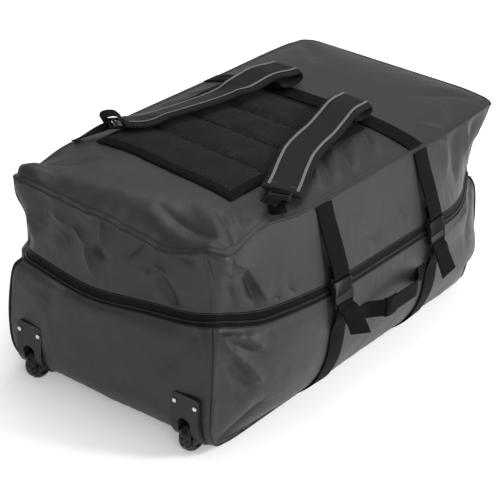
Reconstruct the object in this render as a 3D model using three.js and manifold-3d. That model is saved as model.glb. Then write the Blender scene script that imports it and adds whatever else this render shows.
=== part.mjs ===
// A stuffed wheeled bag for a rolled inflatable board, in millimetres, +Z up.
// +X runs from the wheel end to the head end, the right side is -Y, and the base rests on z = 0.
import * as THREE from "three";
import { mergeVertices } from "three/addons/utils/BufferGeometryUtils.js";
import Module from "manifold-3d";

const wasm = await Module();
wasm.setup();

// Cloth, seams and the small gap that neighbouring pieces keep
const CLOTH = 2.2;
const GAP = 0.35;
const SEAM_GAP = 0.008; // in steps of the perimeter, about 0.3 mm at a corner
const PIPING_RADIUS = 2.6;
const TOP_SEAM_LIFT = 2.6; // the top panel's edge above the walls' top edge

// Where the perimeter is divided, as shares of each side, end and corner: closer near the corners
const SIDE_STOPS = [0, 0.05, 0.1, 0.17, 0.3, 0.5, 0.7, 0.83, 0.9, 0.95];
const END_STOPS = [0, 0.16, 0.33, 0.5, 0.67, 0.84];
const CORNER_STOPS = [0, 0.25, 0.5, 0.75];

// Sections of the body, from the base up to the top seam: the reach of each end and side at the
// corners, the corner radius, and how far the sides and the ends belly out between the corners
const SECTIONS = [
  { z: 3, wheel: 398, head: 430, right: 218, left: 222, radius: 46, sideBow: -8, endBow: 4 },
  { z: 10, wheel: 428, head: 452, right: 230, left: 238, radius: 32, sideBow: -5, endBow: 8 },
  { z: 26, wheel: 447, head: 462, right: 236, left: 247, radius: 26, sideBow: 6, endBow: 12 },
  { z: 62, wheel: 460, head: 468, right: 239, left: 253, radius: 22, sideBow: 38, endBow: 16 },
  { z: 118, wheel: 464, head: 468, right: 240, left: 256, radius: 20, sideBow: 60, endBow: 18 },
  { z: 178, wheel: 464, head: 466, right: 239, left: 255, radius: 22, sideBow: 67, endBow: 18 },
  { z: 230, wheel: 462, head: 463, right: 236, left: 252, radius: 29, sideBow: 71, endBow: 18 },
  { z: 258, wheel: 458, head: 459, right: 230, left: 243, radius: 44, sideBow: 72, endBow: 16 },
  { z: 285, wheel: 455, head: 456, right: 227, left: 237, radius: 53, sideBow: 68, endBow: 15 },
  { z: 336, wheel: 457, head: 460, right: 230, left: 238, radius: 50, sideBow: 49, endBow: 10 },
  { z: 386, wheel: 462, head: 470, right: 237, left: 243, radius: 44, sideBow: 26, endBow: 4 },
  { z: 419, wheel: 464, head: 476, right: 241, left: 244, radius: 40, sideBow: 10, endBow: 0 },
];
const BASE_ROW = 0;
const EDGE_ROW = 1.6; // where the side's bottom piping runs
const ZIP_LOW = 7;
const ZIP_HIGH = 8;
const SEAM_ROW = SECTIONS.length - 1;
const SEAM = SECTIONS[SEAM_ROW];

// The base lifts off the floor between the wheels, the top seam dips over the wheel end and rises
// towards the head end, and the zip dips before the head end
const WHEEL_END_LIFT = 22;
const LIFT_START_X = -200;
const LIFT_END_X = -440;
const LIFT_HALF_WIDTH = 215;
const LIFT_FADE_ROWS = 4;
const WHEEL_SEAM_DIP = 14;
const DIP_FADE_ROWS = 3;
const HEAD_SEAM_RISE = 7;
const RISE_START_X = 150;
const ZIP_DIP = { depth: 17, x: 310, spread: 120 };
const WHEEL_ZIP_DIP = { depth: 17, right: -220, left: 200, fade: 140 };
const SIDE_FULLNESS = 4;
const HEAD_FULLNESS = 9; // on the head half of the sides, below FULL_Z
const FULL_Z = { low: 110, high: 200 };

// The stuffed top: how high its crown stands over the seam, and how wide its shoulders are
const CROWN = 29;
const CROWN_SHOULDER = 200;
const CROWN_FULLNESS = 2.6;
const WHEEL_END_FADE = 70;
const TOP_INSETS = [0, 10, 30, 66, 130, 208];

// Main folds: a valley (negative) or ridge from one end to the other, on a wall or on the top.
// along is x on the sides and the top, y on the ends; across is z on walls and y on the top
const FOLDS = [
  { on: "right", along: -440, across: 258, toAlong: -300, toAcross: 130, width: 36, depth: -13 },
  { on: "right", along: -430, across: 150, toAlong: -330, toAcross: 60, width: 34, depth: -7 },
  { on: "right", along: -432, across: 405, toAlong: -345, toAcross: 330, width: 34, depth: -11 },
  { on: "right", along: 345, across: 395, toAlong: 300, toAcross: 320, width: 36, depth: -8 },
  { on: "left", along: -430, across: 255, toAlong: -300, toAcross: 130, width: 36, depth: -11 },
  { on: "left", along: 300, across: 395, toAlong: 380, toAcross: 320, width: 36, depth: -8 },
  { on: "wheel", along: -130, across: 395, toAlong: -150, toAcross: 320, width: 44, depth: -9 },
  { on: "wheel", along: 75, across: 380, toAlong: 130, toAcross: 330, width: 44, depth: -8 },
  { on: "head", along: -70, across: 395, toAlong: -120, toAcross: 320, width: 44, depth: -8 },
  { on: "top", along: -430, across: -205, toAlong: -345, toAcross: -120, width: 36, depth: -9 },
  { on: "top", along: -420, across: 190, toAlong: -350, toAcross: 110, width: 40, depth: -10 },
  { on: "top", along: 420, across: -190, toAlong: 330, toAcross: -140, width: 36, depth: -6 },
];

// Webbing, buckles and the four compression straps
const WEBBING_WIDTH = 46;
const WEBBING_THICKNESS = 2;
const STRAP_X = { wheel: -174, head: 158 };
const BUCKLE_WIDTH = 56;
const BUCKLE_THICKNESS = 11;
const BUCKLE_BAR_RADIUS = 2.2;
const SOCKET_START = 7.6;
const SOCKET_END = 36;
const PLUG_END = 52;
const BUCKLE_END = 60;
const TONGUE_LENGTH = 18;
const TONGUE_WIDTH = 30;
const TONGUE_THICKNESS = 5;
const BUCKLE_TOP_Z = 296;
const BUCKLE_STAND = 11;
const STRAP_SEAT = 3;
const TAIL_LENGTH = 74;
const TAIL_LEAN = 30;
const SEWN_FOLD = 26;

// Back pad, its binding and the webbing across its head end
const PAD = {
  wheel: -320,
  skew: 34,
  head: 116,
  right: 150,
  left: 194,
  binding: 17,
  channels: 7,
  crest: 8.5,
  valley: 4,
};
const PAD_SEAT = 1.4;
const CROSS_X = 148;

// Shoulder straps: centre lines of both, with their height over the top's surface
const SHOULDER_WIDTH = 74;
const SHOULDER_THICKNESS = 15;
const SHOULDER_ROUTE = [
  { x: 96, leftX: 128, right: 98, left: 96, rise: 18 },
  { x: 128, leftX: 166, right: 98, left: 94, rise: 11.4 },
  { x: 147, leftX: 184, right: 98, left: 94, rise: 12.6 },
  { x: 156, leftX: 194, right: 98, left: 93, rise: 21 },
  { x: 150, leftX: 188, right: 99, left: 93, rise: 30 },
  { x: 128, leftX: 164, right: 101, left: 95, rise: 34 },
  { x: 90, leftX: 120, right: 106, left: 102, rise: 37 },
  { x: 45, leftX: 60, right: 113, left: 110, rise: 28 },
  { x: 0, leftX: 5, right: 121, left: 117, rise: 21 },
  { x: -50, leftX: -50, right: 129, left: 126, rise: 19 },
  { x: -105, leftX: -105, right: 143, left: 136, rise: 19 },
  { x: -155, leftX: -155, right: 163, left: 147, rise: 19 },
  { x: -205, leftX: -196, right: 185, left: 158, rise: 19 },
  { x: -250, leftX: -226, right: 203, left: 178, rise: 23 },
];
const ADJUSTER = { length: 26, width: 42, thickness: 6, slot: 7 };
const NARROW_WEBBING = 30;

// Grab handle on the right side
const HANDLE = {
  start: -104,
  end: 130,
  z: 184,
  width: 36,
  seat: 0.7,
  stand: 26,
  sleeveStart: -46,
  sleeveEnd: -14,
};

// Wheels and their corner housings
const WHEEL = { x: -443, y: 187, radius: 34, width: 26, axle: 4 };
const HOUSING = { width: 60, top: 128, front: -475, inner: -376, corner: 9, running: 3, wall: 3, lug: 4 };
const RIVET = { z: 110, spread: 23, radius: 4.5, height: 2.4 };
const TREADS = 8;

// Finishes
const FINISH = {
  cloth: { color: 0x4a4b4d, roughness: 0.72, metalness: 0 },
  webbing: { color: 0x1d1e20, roughness: 0.85, metalness: 0 },
  mesh: { color: 0x242527, roughness: 0.9, metalness: 0 },
  piping: { color: 0x3e3f41, roughness: 0.7, metalness: 0 },
  zip: { color: 0x161718, roughness: 0.6, metalness: 0 },
  plastic: { color: 0x1a1b1c, roughness: 0.45, metalness: 0 },
  rubber: { color: 0x151617, roughness: 0.6, metalness: 0 },
  metal: { color: 0xc9cacb, roughness: 0.35, metalness: 0.9 },
};

const bag = new THREE.Group();
bag.name = "paddleboard_bag";

function addPiece(name, geometry, finish) {
  const material = new THREE.MeshStandardMaterial(FINISH[finish]);
  const mesh = new THREE.Mesh(geometry, material);
  mesh.name = name;
  bag.add(mesh);
  return mesh;
}

// Small helpers for curves and interpolation
const lerp = THREE.MathUtils.lerp;
const vec = (x, y, z) => new THREE.Vector3(x, y, z);
const hump = (t) => 1 - (2 * t - 1) ** 2;
const plateau = (t, power) => 1 - Math.abs(2 * t - 1) ** power;
const range = (count) => Array.from({ length: count }, (_, index) => index);

function smoothBetween(values, position) {
  const index = Math.min(Math.max(Math.floor(position), 0), values.length - 2);
  const t = position - index;
  const before = values[Math.max(index - 1, 0)];
  const after = values[Math.min(index + 2, values.length - 1)];
  const start = values[index];
  const end = values[index + 1];
  const startSlope = (end - before) / 2;
  const endSlope = (after - start) / 2;
  return (
    start * (1 + 2 * t) * (1 - t) ** 2 +
    startSlope * t * (1 - t) ** 2 +
    end * t * t * (3 - 2 * t) +
    endSlope * t * t * (t - 1)
  );
}

function sectionAt(row) {
  const section = {};
  for (const key of Object.keys(SECTIONS[0])) {
    section[key] = smoothBetween(SECTIONS.map((entry) => entry[key]), row);
  }
  return section;
}

// Perimeter of a section: u runs round the body, one step for each side, corner and end
const WALLS = ["right", "corner", "head", "corner", "left", "corner", "wheel", "corner"];

function sidePlateau(section, headShare) {
  const high = THREE.MathUtils.smoothstep(section.z, FULL_Z.low, FULL_Z.high);
  const headPower = lerp(HEAD_FULLNESS, SIDE_FULLNESS, high);
  return plateau(headShare, headShare > 0.5 ? headPower : SIDE_FULLNESS);
}

function outlinePoint(section, u) {
  const turn = ((u % 8) + 8) % 8;
  const leg = Math.floor(turn);
  const t = turn - leg;
  const { wheel, head, right, left, radius, sideBow, endBow } = section;
  const corners = { 1: [head, -right], 3: [head, left], 5: [-wheel, left], 7: [-wheel, -right] };
  if (leg === 0) {
    return [lerp(radius - wheel, head - radius, t), -right - sideBow * sidePlateau(section, t)];
  }
  if (leg === 2) {
    return [head + endBow * hump(t), lerp(radius - right, left - radius, t)];
  }
  if (leg === 4) {
    return [lerp(head - radius, radius - wheel, t), left + sideBow * sidePlateau(section, 1 - t)];
  }
  if (leg === 6) {
    return [-wheel - endBow * hump(t), lerp(left - radius, radius - right, t)];
  }
  const [x, y] = corners[leg];
  const angle = ((leg - 1) / 2 + t - 1) * (Math.PI / 2);
  const centre = [x - Math.sign(x) * radius, y - Math.sign(y) * radius];
  return [centre[0] + radius * Math.cos(angle), centre[1] + radius * Math.sin(angle)];
}

function baseLift(x, y, row) {
  const rise = THREE.MathUtils.smoothstep(-x, -LIFT_START_X, -LIFT_END_X);
  const between = Math.max(0, 1 - Math.abs(y / LIFT_HALF_WIDTH) ** 4);
  return WHEEL_END_LIFT * rise * between * Math.max(0, 1 - row / LIFT_FADE_ROWS);
}

function seamWave(x, y, row) {
  const above = Math.max(0, 1 - (SEAM_ROW - row) / DIP_FADE_ROWS);
  const rise = HEAD_SEAM_RISE * THREE.MathUtils.smoothstep(x, RISE_START_X, SEAM.head);
  const across = 1 - Math.min(1, Math.abs(y) / (SEAM.right - SEAM.radius)) ** 4;
  const dip = WHEEL_SEAM_DIP * across * Math.exp(-(x + SEAM.wheel) / WHEEL_END_FADE);
  const nearZip = Math.exp(-(((row - ZIP_LOW - 0.5) / 1.6) ** 2));
  const zipDip = ZIP_DIP.depth * nearZip * Math.exp(-(((x - ZIP_DIP.x) / ZIP_DIP.spread) ** 2));
  const towardsLeft = THREE.MathUtils.smoothstep(y, WHEEL_ZIP_DIP.right, WHEEL_ZIP_DIP.left);
  const fromWheel = Math.max(0, x + SEAM.wheel) / WHEEL_ZIP_DIP.fade;
  const wheelZipDip = WHEEL_ZIP_DIP.depth * nearZip * towardsLeft * Math.exp(-(fromWheel ** 2));
  return above * (rise - Math.min(dip, WHEEL_SEAM_DIP)) - zipDip - wheelZipDip;
}

function plainWallPoint(u, row) {
  const section = sectionAt(row);
  const [x, y] = outlinePoint(section, u);
  return vec(x, y, section.z + seamWave(x, y, row) + baseLift(x, y, row));
}

function wallNormal(u, row) {
  const step = 0.01;
  const top = SECTIONS.length - 1;
  const along = plainWallPoint(u + step, row).sub(plainWallPoint(u - step, row));
  const upper = plainWallPoint(u, Math.min(row + step, top));
  const up = upper.sub(plainWallPoint(u, Math.max(row - step, 0)));
  return along.cross(up).normalize();
}

// Folds: a smooth groove or ridge along a line on one wall
function foldDepth(wall, along, across) {
  let depth = 0;
  for (const fold of FOLDS.filter((entry) => entry.on === wall)) {
    const runAlong = fold.toAlong - fold.along;
    const runAcross = fold.toAcross - fold.across;
    const length2 = runAlong ** 2 + runAcross ** 2;
    const dot = (along - fold.along) * runAlong + (across - fold.across) * runAcross;
    const t = THREE.MathUtils.clamp(dot / length2, 0, 1);
    const missAlong = along - fold.along - t * runAlong;
    const missAcross = across - fold.across - t * runAcross;
    const miss2 = missAlong ** 2 + missAcross ** 2;
    depth += fold.depth * Math.exp(-miss2 / fold.width ** 2);
  }
  return depth;
}

function wallPoint(u, row, offset = 0) {
  const point = plainWallPoint(u, row);
  const normal = wallNormal(u, row);
  const wall = WALLS[Math.floor(((u % 8) + 8) % 8)];
  const onEnd = wall === "wheel" || wall === "head";
  const nearEdge = Math.min(1, Math.max(0, (SEAM_ROW - row) / 1.2), Math.abs(row - ZIP_LOW - 0.5) / 1.5);
  const depth = wall === "corner" ? 0 : foldDepth(wall, onEnd ? point.y : point.x, point.z) * nearEdge;
  return point.addScaledVector(normal, offset + depth);
}

// Height of the stuffed top over any place
function seamReach(x, side) {
  const t = (x + SEAM.wheel - SEAM.radius) / (SEAM.wheel + SEAM.head - 2 * SEAM.radius);
  const bow = SEAM.sideBow * plateau(THREE.MathUtils.clamp(t, 0, 1), SIDE_FULLNESS);
  return (side < 0 ? SEAM.right : SEAM.left) + bow;
}

function topHeight(x, y) {
  const centreX = (SEAM.head - SEAM.wheel) / 2;
  const halfLength = (SEAM.head + SEAM.wheel) / 2;
  const halfWidth = seamReach(x, Math.sign(y));
  const edgeX = Math.abs(x - centreX) - (halfLength - SEAM.radius);
  const edgeY = Math.abs(y) - (halfWidth - SEAM.radius);
  const outside = Math.hypot(Math.max(edgeX, 0), Math.max(edgeY, 0));
  const inset = Math.max(0, SEAM.radius - outside - Math.min(Math.max(edgeX, edgeY), 0));
  const shoulder = Math.min(1, inset / CROWN_SHOULDER);
  const crown = CROWN * (1 - (1 - shoulder) ** CROWN_FULLNESS);
  const edge = SEAM.z + seamWave(x, y, SEAM_ROW);
  const fold = foldDepth("top", x, y) * Math.min(1, inset / 40);
  return edge + crown + fold + TOP_SEAM_LIFT;
}

function topPoint(x, y, offset = 0) {
  const step = 2;
  const slopeX = (topHeight(x + step, y) - topHeight(x - step, y)) / (2 * step);
  const slopeY = (topHeight(x, y + step) - topHeight(x, y - step)) / (2 * step);
  const normal = vec(-slopeX, -slopeY, 1).normalize();
  return vec(x, y, topHeight(x, y)).addScaledVector(normal, offset);
}

// Solids from rings of points. A ring is the closed outline of one station
function geometryFrom(points, triangles) {
  const geometry = new THREE.BufferGeometry();
  const flat = points.flatMap((point) => [point.x, point.y, point.z]);
  geometry.setAttribute("position", new THREE.Float32BufferAttribute(flat, 3));
  const volume = triangles.reduce((sum, [a, b, c]) => {
    return sum + points[a].dot(points[b].clone().cross(points[c]));
  }, 0);
  const facing = volume < 0 ? triangles.map(([a, b, c]) => [a, c, b]) : triangles;
  geometry.setIndex(facing.flat());
  geometry.computeVertexNormals();
  return geometry;
}

function quad(triangles, a, b, c, d) {
  triangles.push([a, b, c], [a, c, d]);
}

function loft(rings, closed = false) {
  // The two faces of a thin wall are divided along the same diagonals, so they never cross
  const size = rings[0].length;
  const count = rings.length;
  const at = (ring, k) => (ring % count) * size + (k % size);
  const triangles = [];
  for (const ring of range(closed ? count : count - 1)) {
    for (const k of range(size)) {
      const [a, b, c, d] = [at(ring, k), at(ring + 1, k), at(ring + 1, k + 1), at(ring, k + 1)];
      if (k < size / 2) {
        quad(triangles, a, b, c, d);
      } else {
        quad(triangles, b, c, d, a);
      }
    }
  }
  if (!closed) {
    const last = count - 1;
    for (const k of range(size / 2 - 1)) {
      const [low, high] = [k, size - 1 - k];
      quad(triangles, at(0, low), at(0, low + 1), at(0, high - 1), at(0, high));
      quad(triangles, at(last, low), at(last, high), at(last, high - 1), at(last, low + 1));
    }
  }
  return geometryFrom(rings.flat(), triangles);
}

// A domed sheet: rings of columns from its rim inwards, both faces, closed by a lid in the middle
function domedSheet(outer, inner) {
  const columns = outer.length;
  const rows = outer[0].length;
  const points = [...outer.flat(), ...inner.flat()];
  const at = (face, column, row) => face * columns * rows + (column % columns) * rows + row;
  const triangles = [];
  for (const column of range(columns)) {
    for (const row of range(rows - 1)) {
      const next = column + 1;
      quad(triangles, at(0, column, row), at(0, next, row), at(0, next, row + 1), at(0, column, row + 1));
      quad(triangles, at(1, column, row), at(1, column, row + 1), at(1, next, row + 1), at(1, next, row));
    }
    quad(triangles, at(1, column, 0), at(1, column + 1, 0), at(0, column + 1, 0), at(0, column, 0));
  }
  const middle = ALL_ROUND.indexOf(6.5);
  const lid = (face, step) => at(face, (middle + step + columns) % columns, rows - 1);
  for (const step of range(columns / 2)) {
    const [a, b, c, d] = [-step, -step - 1, step + 1, step];
    quad(triangles, lid(0, d), lid(0, c), lid(0, b), lid(0, a));
    quad(triangles, lid(1, a), lid(1, b), lid(1, c), lid(1, d));
  }
  const distinct = triangles.filter(([a, b, c]) => a !== b && b !== c && c !== a);
  return geometryFrom(points, distinct);
}

function toSolid(geometry) {
  const plain = geometry.clone();
  for (const key of Object.keys(plain.attributes)) {
    if (key !== "position") {
      plain.deleteAttribute(key);
    }
  }
  const merged = mergeVertices(plain, 1e-4);
  const mesh = new wasm.Mesh({
    numProp: 3,
    vertProperties: new Float32Array(merged.attributes.position.array),
    triVerts: new Uint32Array(merged.index.array),
  });
  return new wasm.Manifold(mesh);
}

function toGeometry(solid) {
  const mesh = solid.getMesh();
  const geometry = new THREE.BufferGeometry();
  geometry.setAttribute("position", new THREE.BufferAttribute(mesh.vertProperties, 3));
  geometry.setIndex(new THREE.BufferAttribute(mesh.triVerts, 1));
  return geometry;
}

// Perimeter stops, shared by every piece that follows the body
const STOPS = {
  right: SIDE_STOPS,
  left: SIDE_STOPS,
  head: END_STOPS,
  wheel: END_STOPS,
  corner: CORNER_STOPS,
};

function perimeterStops(from, to) {
  const stops = [];
  for (let leg = Math.floor(from); leg < to; leg += 1) {
    const wall = WALLS[((leg % 8) + 8) % 8];
    stops.push(...STOPS[wall].map((share) => leg + share));
  }
  return stops.filter((stop) => stop >= from && stop < to);
}
const ALL_ROUND = perimeterStops(0, 8);

// A cloth band round the body, or part of it, between two rows
function bandRing(u, rows, outside, inside) {
  const outer = rows.map((row) => wallPoint(u, row, outside));
  const inner = rows.map((row) => wallPoint(u, row, inside));
  return [...outer, ...inner.reverse()];
}

function wallPanel(from, to, rows) {
  const inner = perimeterStops(from, to).slice(1);
  const stops = [from + SEAM_GAP, ...inner, to - SEAM_GAP];
  return loft(stops.map((u) => bandRing(u, rows, 0, -CLOTH)));
}

function bandAllRound(rows, outside, inside) {
  return loft(ALL_ROUND.map((u) => bandRing(u, rows, outside, inside)), true);
}

// A cord of round section along a path, with the surface's outward direction at each stop
function cordRing(point, tangent, outward, radius, sides) {
  const sideways = tangent.clone().cross(outward).normalize();
  const up = sideways.clone().cross(tangent).normalize();
  return range(sides).map((k) => {
    const angle = (k / sides) * 2 * Math.PI;
    const ring = point.clone().addScaledVector(sideways, radius * Math.cos(angle));
    return ring.addScaledVector(up, radius * Math.sin(angle));
  });
}

function tangentAt(points, index, closed) {
  const count = points.length;
  const next = closed ? points[(index + 1) % count] : points[Math.min(index + 1, count - 1)];
  const last = closed ? points[(index + count - 1) % count] : points[Math.max(index - 1, 0)];
  return next.clone().sub(last).normalize();
}

function cord(points, outwards, radius, closed = false, sides = 5) {
  const rings = points.map((point, index) => {
    return cordRing(point, tangentAt(points, index, closed), outwards[index], radius, sides);
  });
  return loft(rings, closed);
}

// Flat webbing along a path, with the direction of its width at each stop
function ribbon(points, widths, width, thickness) {
  const rings = points.map((point, index) => {
    const tangent = tangentAt(points, index, false);
    const across = widths[index].clone().addScaledVector(tangent, -widths[index].dot(tangent)).normalize();
    const normal = across.clone().cross(tangent).normalize();
    const corner = (side, face) => {
      return point
        .clone()
        .addScaledVector(across, (side * width) / 2)
        .addScaledVector(normal, (face * thickness) / 2);
    };
    return [corner(-1, -1), corner(1, -1), corner(1, 1), corner(-1, 1)];
  });
  return loft(rings);
}

// Body: lower walls, zip, upper walls, top and base
const PANELS = { right: [-0.5, 1.5], head: [1.5, 3.5], left: [3.5, 5.5], wheel: [5.5, 7.5] };
const ROW_GAP = 0.012;

function rowsBetween(low, high, extra = []) {
  const whole = range(SECTIONS.length).filter((row) => row > low && row < high);
  return [low, ...whole, ...extra, high].sort((a, b) => a - b);
}

const lowerRows = rowsBetween(BASE_ROW, ZIP_LOW - ROW_GAP);
const upperRows = rowsBetween(ZIP_HIGH + ROW_GAP, SEAM_ROW, [9.5]);
const lowerPanels = {};
for (const [name, [from, to]] of Object.entries(PANELS)) {
  lowerPanels[name] = wallPanel(from, to, lowerRows);
  addPiece(`upper_panel_${name}`, wallPanel(from, to, upperRows), "cloth");
}

const ZIP_TAPE = 0.38;
const ZIP_COIL = [ZIP_LOW + ZIP_TAPE + ROW_GAP, ZIP_HIGH - ZIP_TAPE - ROW_GAP];
const tape = { outside: -0.1, inside: -1.7 };
const coil = { outside: 1.5, inside: -1.5 };
addPiece("zip_lower_tape", bandAllRound([ZIP_LOW, ZIP_LOW + ZIP_TAPE], tape.outside, tape.inside), "zip");
addPiece("zip_coil", bandAllRound(ZIP_COIL, coil.outside, coil.inside), "zip");
addPiece("zip_upper_tape", bandAllRound([ZIP_HIGH - ZIP_TAPE, ZIP_HIGH], tape.outside, tape.inside), "zip");

function topPanel() {
  const columns = { outer: [], inner: [] };
  for (const u of ALL_ROUND) {
    const places = TOP_INSETS.map((inset) => {
      const section = {
        ...SEAM,
        wheel: SEAM.wheel - inset,
        head: SEAM.head - inset,
        right: SEAM.right - inset,
        left: SEAM.left - inset,
        radius: Math.max(SEAM.radius - inset * 0.6, 5),
        endBow: inset * 0.06,
      };
      return outlinePoint(section, u);
    });
    columns.outer.push(places.map(([x, y]) => topPoint(x, y, 0)));
    columns.inner.push(places.map(([x, y]) => topPoint(x, y, -CLOTH)));
  }
  return domedSheet(columns.outer, columns.inner);
}
addPiece("top_panel", topPanel(), "cloth");

const BASE_THICKNESS = 2.4;
const BASE_OVERLAP = 3;
const BASE_INSETS = [-BASE_OVERLAP, 60];

function basePanel() {
  const bottom = [];
  const top = [];
  const ring = SECTIONS[BASE_ROW];
  for (const u of ALL_ROUND) {
    const places = BASE_INSETS.map((inset) => {
      const section = {
        ...ring,
        wheel: ring.wheel - inset,
        head: ring.head - inset,
        right: ring.right - inset,
        left: ring.left - inset,
        radius: Math.max(ring.radius - inset * 0.6, 5),
      };
      return outlinePoint(section, u);
    });
    bottom.push(places.map(([x, y]) => vec(x, y, baseLift(x, y, 0))));
    top.push(places.map(([x, y]) => vec(x, y, baseLift(x, y, 0) + BASE_THICKNESS)));
  }
  return domedSheet(top, bottom);
}

// Piping along the top seam and round each lower side panel
function onSeam(u, row, away) {
  const point = plainWallPoint(u, row);
  const normal = wallNormal(u, row);
  return { point: point.addScaledVector(normal, away), normal };
}

const pipingAway = PIPING_RADIUS + GAP;
const topSeam = ALL_ROUND.map((u) => {
  const [beforeX, beforeY] = outlinePoint(SEAM, u - 0.01);
  const [afterX, afterY] = outlinePoint(SEAM, u + 0.01);
  const normal = vec(afterY - beforeY, beforeX - afterX, 0).normalize();
  const point = plainWallPoint(u, SEAM_ROW).addScaledVector(normal, pipingAway);
  point.z += TOP_SEAM_LIFT / 2;
  return { point, normal };
});
const topPipingRing = [topSeam.map((stop) => stop.point), topSeam.map((stop) => stop.normal)];
addPiece("top_piping", cord(...topPipingRing, PIPING_RADIUS, true), "piping");

function sidePiping(from, to) {
  const bend = 0.55;
  const down = [ZIP_LOW - 0.1, 6, 5, 4, 3.2].map((row) => [from, row]);
  const turnIn = [[from + 0.02, 2.5], [from + 0.12, 1.9], [from + bend - 0.2, EDGE_ROW]];
  const along = perimeterStops(from + bend, to - bend + 0.01).map((u) => [u, EDGE_ROW]);
  const turnOut = turnIn.map(([u, row]) => [from + to - u, row]).reverse();
  const up = down.map(([, row]) => [to, row]).reverse();
  const stops = [...down, ...turnIn, ...along, ...turnOut, ...up];
  const seam = stops.map(([u, row]) => onSeam(u, row, pipingAway + GAP));
  return cord(seam.map((stop) => stop.point), seam.map((stop) => stop.normal), PIPING_RADIUS, false, 6);
}
addPiece("side_piping_right", sidePiping(...PANELS.right), "piping");
addPiece("side_piping_left", sidePiping(...PANELS.left), "piping");

// Back pad with sewn channels, its flat binding, and the webbing over its head end
function padPoint(x, y, offset) {
  return topPoint(x, y, PAD_SEAT + offset);
}

// The pad's wheel edge runs a little askew across the bag
function padWheelEdge(y) {
  return PAD.wheel + (PAD.skew * (y + PAD.right)) / (PAD.right + PAD.left);
}

function backPad() {
  const { head, right, left, binding, channels, crest, valley } = PAD;
  const inset = binding + GAP;
  const stepsPerChannel = 3;
  const stops = range(channels * stepsPerChannel + 1);
  const acrossSteps = 5;
  const across = range(acrossSteps + 1);
  const ys = across.map((step) => lerp(inset - right, left - inset, step / acrossSteps));
  const rings = stops.map((stop) => {
    const share = stop / (channels * stepsPerChannel);
    const xAt = (y) => lerp(padWheelEdge(y) + inset, head - inset, share);
    const puff = Math.abs(Math.sin((stop / stepsPerChannel) * Math.PI));
    const top = ys.map((y) => {
      const fromSide = Math.min(y + right, left - y) - inset;
      const sideFade = Math.min(1, fromSide / 24 + 0.35);
      return padPoint(xAt(y), y, valley + (crest - valley) * puff * sideFade);
    });
    return [...top, ...ys.map((y) => padPoint(xAt(y), y, 0)).reverse()];
  });
  return loft(rings);
}
addPiece("back_pad", backPad(), "mesh");

function padBinding() {
  const { head, right, left, binding, valley } = PAD;
  const lengthSteps = 9;
  const widthSteps = 6;
  const frame = (inset) => {
    const [low, high, end] = [inset - right, left - inset, head - inset];
    const alongSide = (y, step) => [lerp(padWheelEdge(y) + inset, end, step / lengthSteps), y];
    const acrossAt = (step) => lerp(low, high, step / widthSteps);
    const rightSide = range(lengthSteps).map((step) => alongSide(low, step));
    const headSide = range(widthSteps).map((step) => [end, acrossAt(step)]);
    const leftSide = range(lengthSteps).map((step) => alongSide(high, lengthSteps - step));
    const wheelSide = range(widthSteps).map((step) => {
      const y = acrossAt(widthSteps - step);
      return [padWheelEdge(y) + inset, y];
    });
    return [...rightSide, ...headSide, ...leftSide, ...wheelSide];
  };
  const outer = frame(0);
  const inner = frame(binding);
  const rings = outer.map(([x, y], index) => {
    const [innerX, innerY] = inner[index];
    return [
      padPoint(x, y, 0),
      padPoint(innerX, innerY, 0),
      padPoint(innerX, innerY, valley),
      padPoint(x, y, valley * 0.6),
    ];
  });
  return loft(rings, true);
}
addPiece("back_pad_binding", padBinding(), "mesh");

function crossWebbing() {
  const reach = { right: seamReach(CROSS_X, -1) - 1, left: seamReach(CROSS_X, 1) - 1 };
  const steps = 14;
  const ys = range(steps + 1).map((step) => lerp(-reach.right, reach.left, step / steps));
  const seat = WEBBING_THICKNESS / 2 + PAD_SEAT;
  const points = ys.map((y) => topPoint(CROSS_X, y, seat));
  const widths = ys.map((y) => topPoint(CROSS_X + 5, y).sub(topPoint(CROSS_X - 5, y)));
  return ribbon(points, widths, WEBBING_WIDTH, WEBBING_THICKNESS);
}
addPiece("cross_webbing", crossWebbing(), "webbing");

// Compression straps. A strap lies in an upright plane across the side, so it is drawn there by
// (out, z): out is the distance from the bag's middle line
function wallOut(x, z, side) {
  const wall = side < 0 ? 0 : 4;
  let [low, high] = [0, SEAM_ROW];
  let point = null;
  for (let pass = 0; pass < 40; pass += 1) {
    const row = (low + high) / 2;
    const section = sectionAt(row);
    const t = (x + section.wheel - section.radius) / (section.wheel + section.head - 2 * section.radius);
    const clamped = THREE.MathUtils.clamp(side < 0 ? t : 1 - t, 0.001, 0.999);
    point = wallPoint(wall + clamped, row);
    if (point.z < z) {
      low = row;
    } else {
      high = row;
    }
  }
  return Math.abs(point.y);
}

function buckleFrame(x, side) {
  const bottomZ = BUCKLE_TOP_Z - BUCKLE_END;
  const top = { out: wallOut(x, BUCKLE_TOP_Z, side) + BUCKLE_STAND, z: BUCKLE_TOP_Z };
  const bottom = { out: wallOut(x, bottomZ, side) + BUCKLE_STAND, z: bottomZ };
  const length = Math.hypot(bottom.out - top.out, bottom.z - top.z);
  const down = { out: (bottom.out - top.out) / length, z: (bottom.z - top.z) / length };
  const slope = (wallOut(x + 10, bottomZ, side) - wallOut(x - 10, bottomZ, side)) / 20;
  const across = vec(1, side * slope, 0).normalize();
  const world = (aside, s, n) => {
    const out = top.out + down.out * s - down.z * n;
    return vec(x, side * out, top.z + down.z * s + down.out * n).addScaledVector(across, aside);
  };
  const onWall = (z) => vec(x, side * (wallOut(x, z, side) + STRAP_SEAT), z);
  return { world, onWall, across };
}

const loopRadius = BUCKLE_BAR_RADIUS + 1.5 * GAP + WEBBING_THICKNESS / 2;

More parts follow.
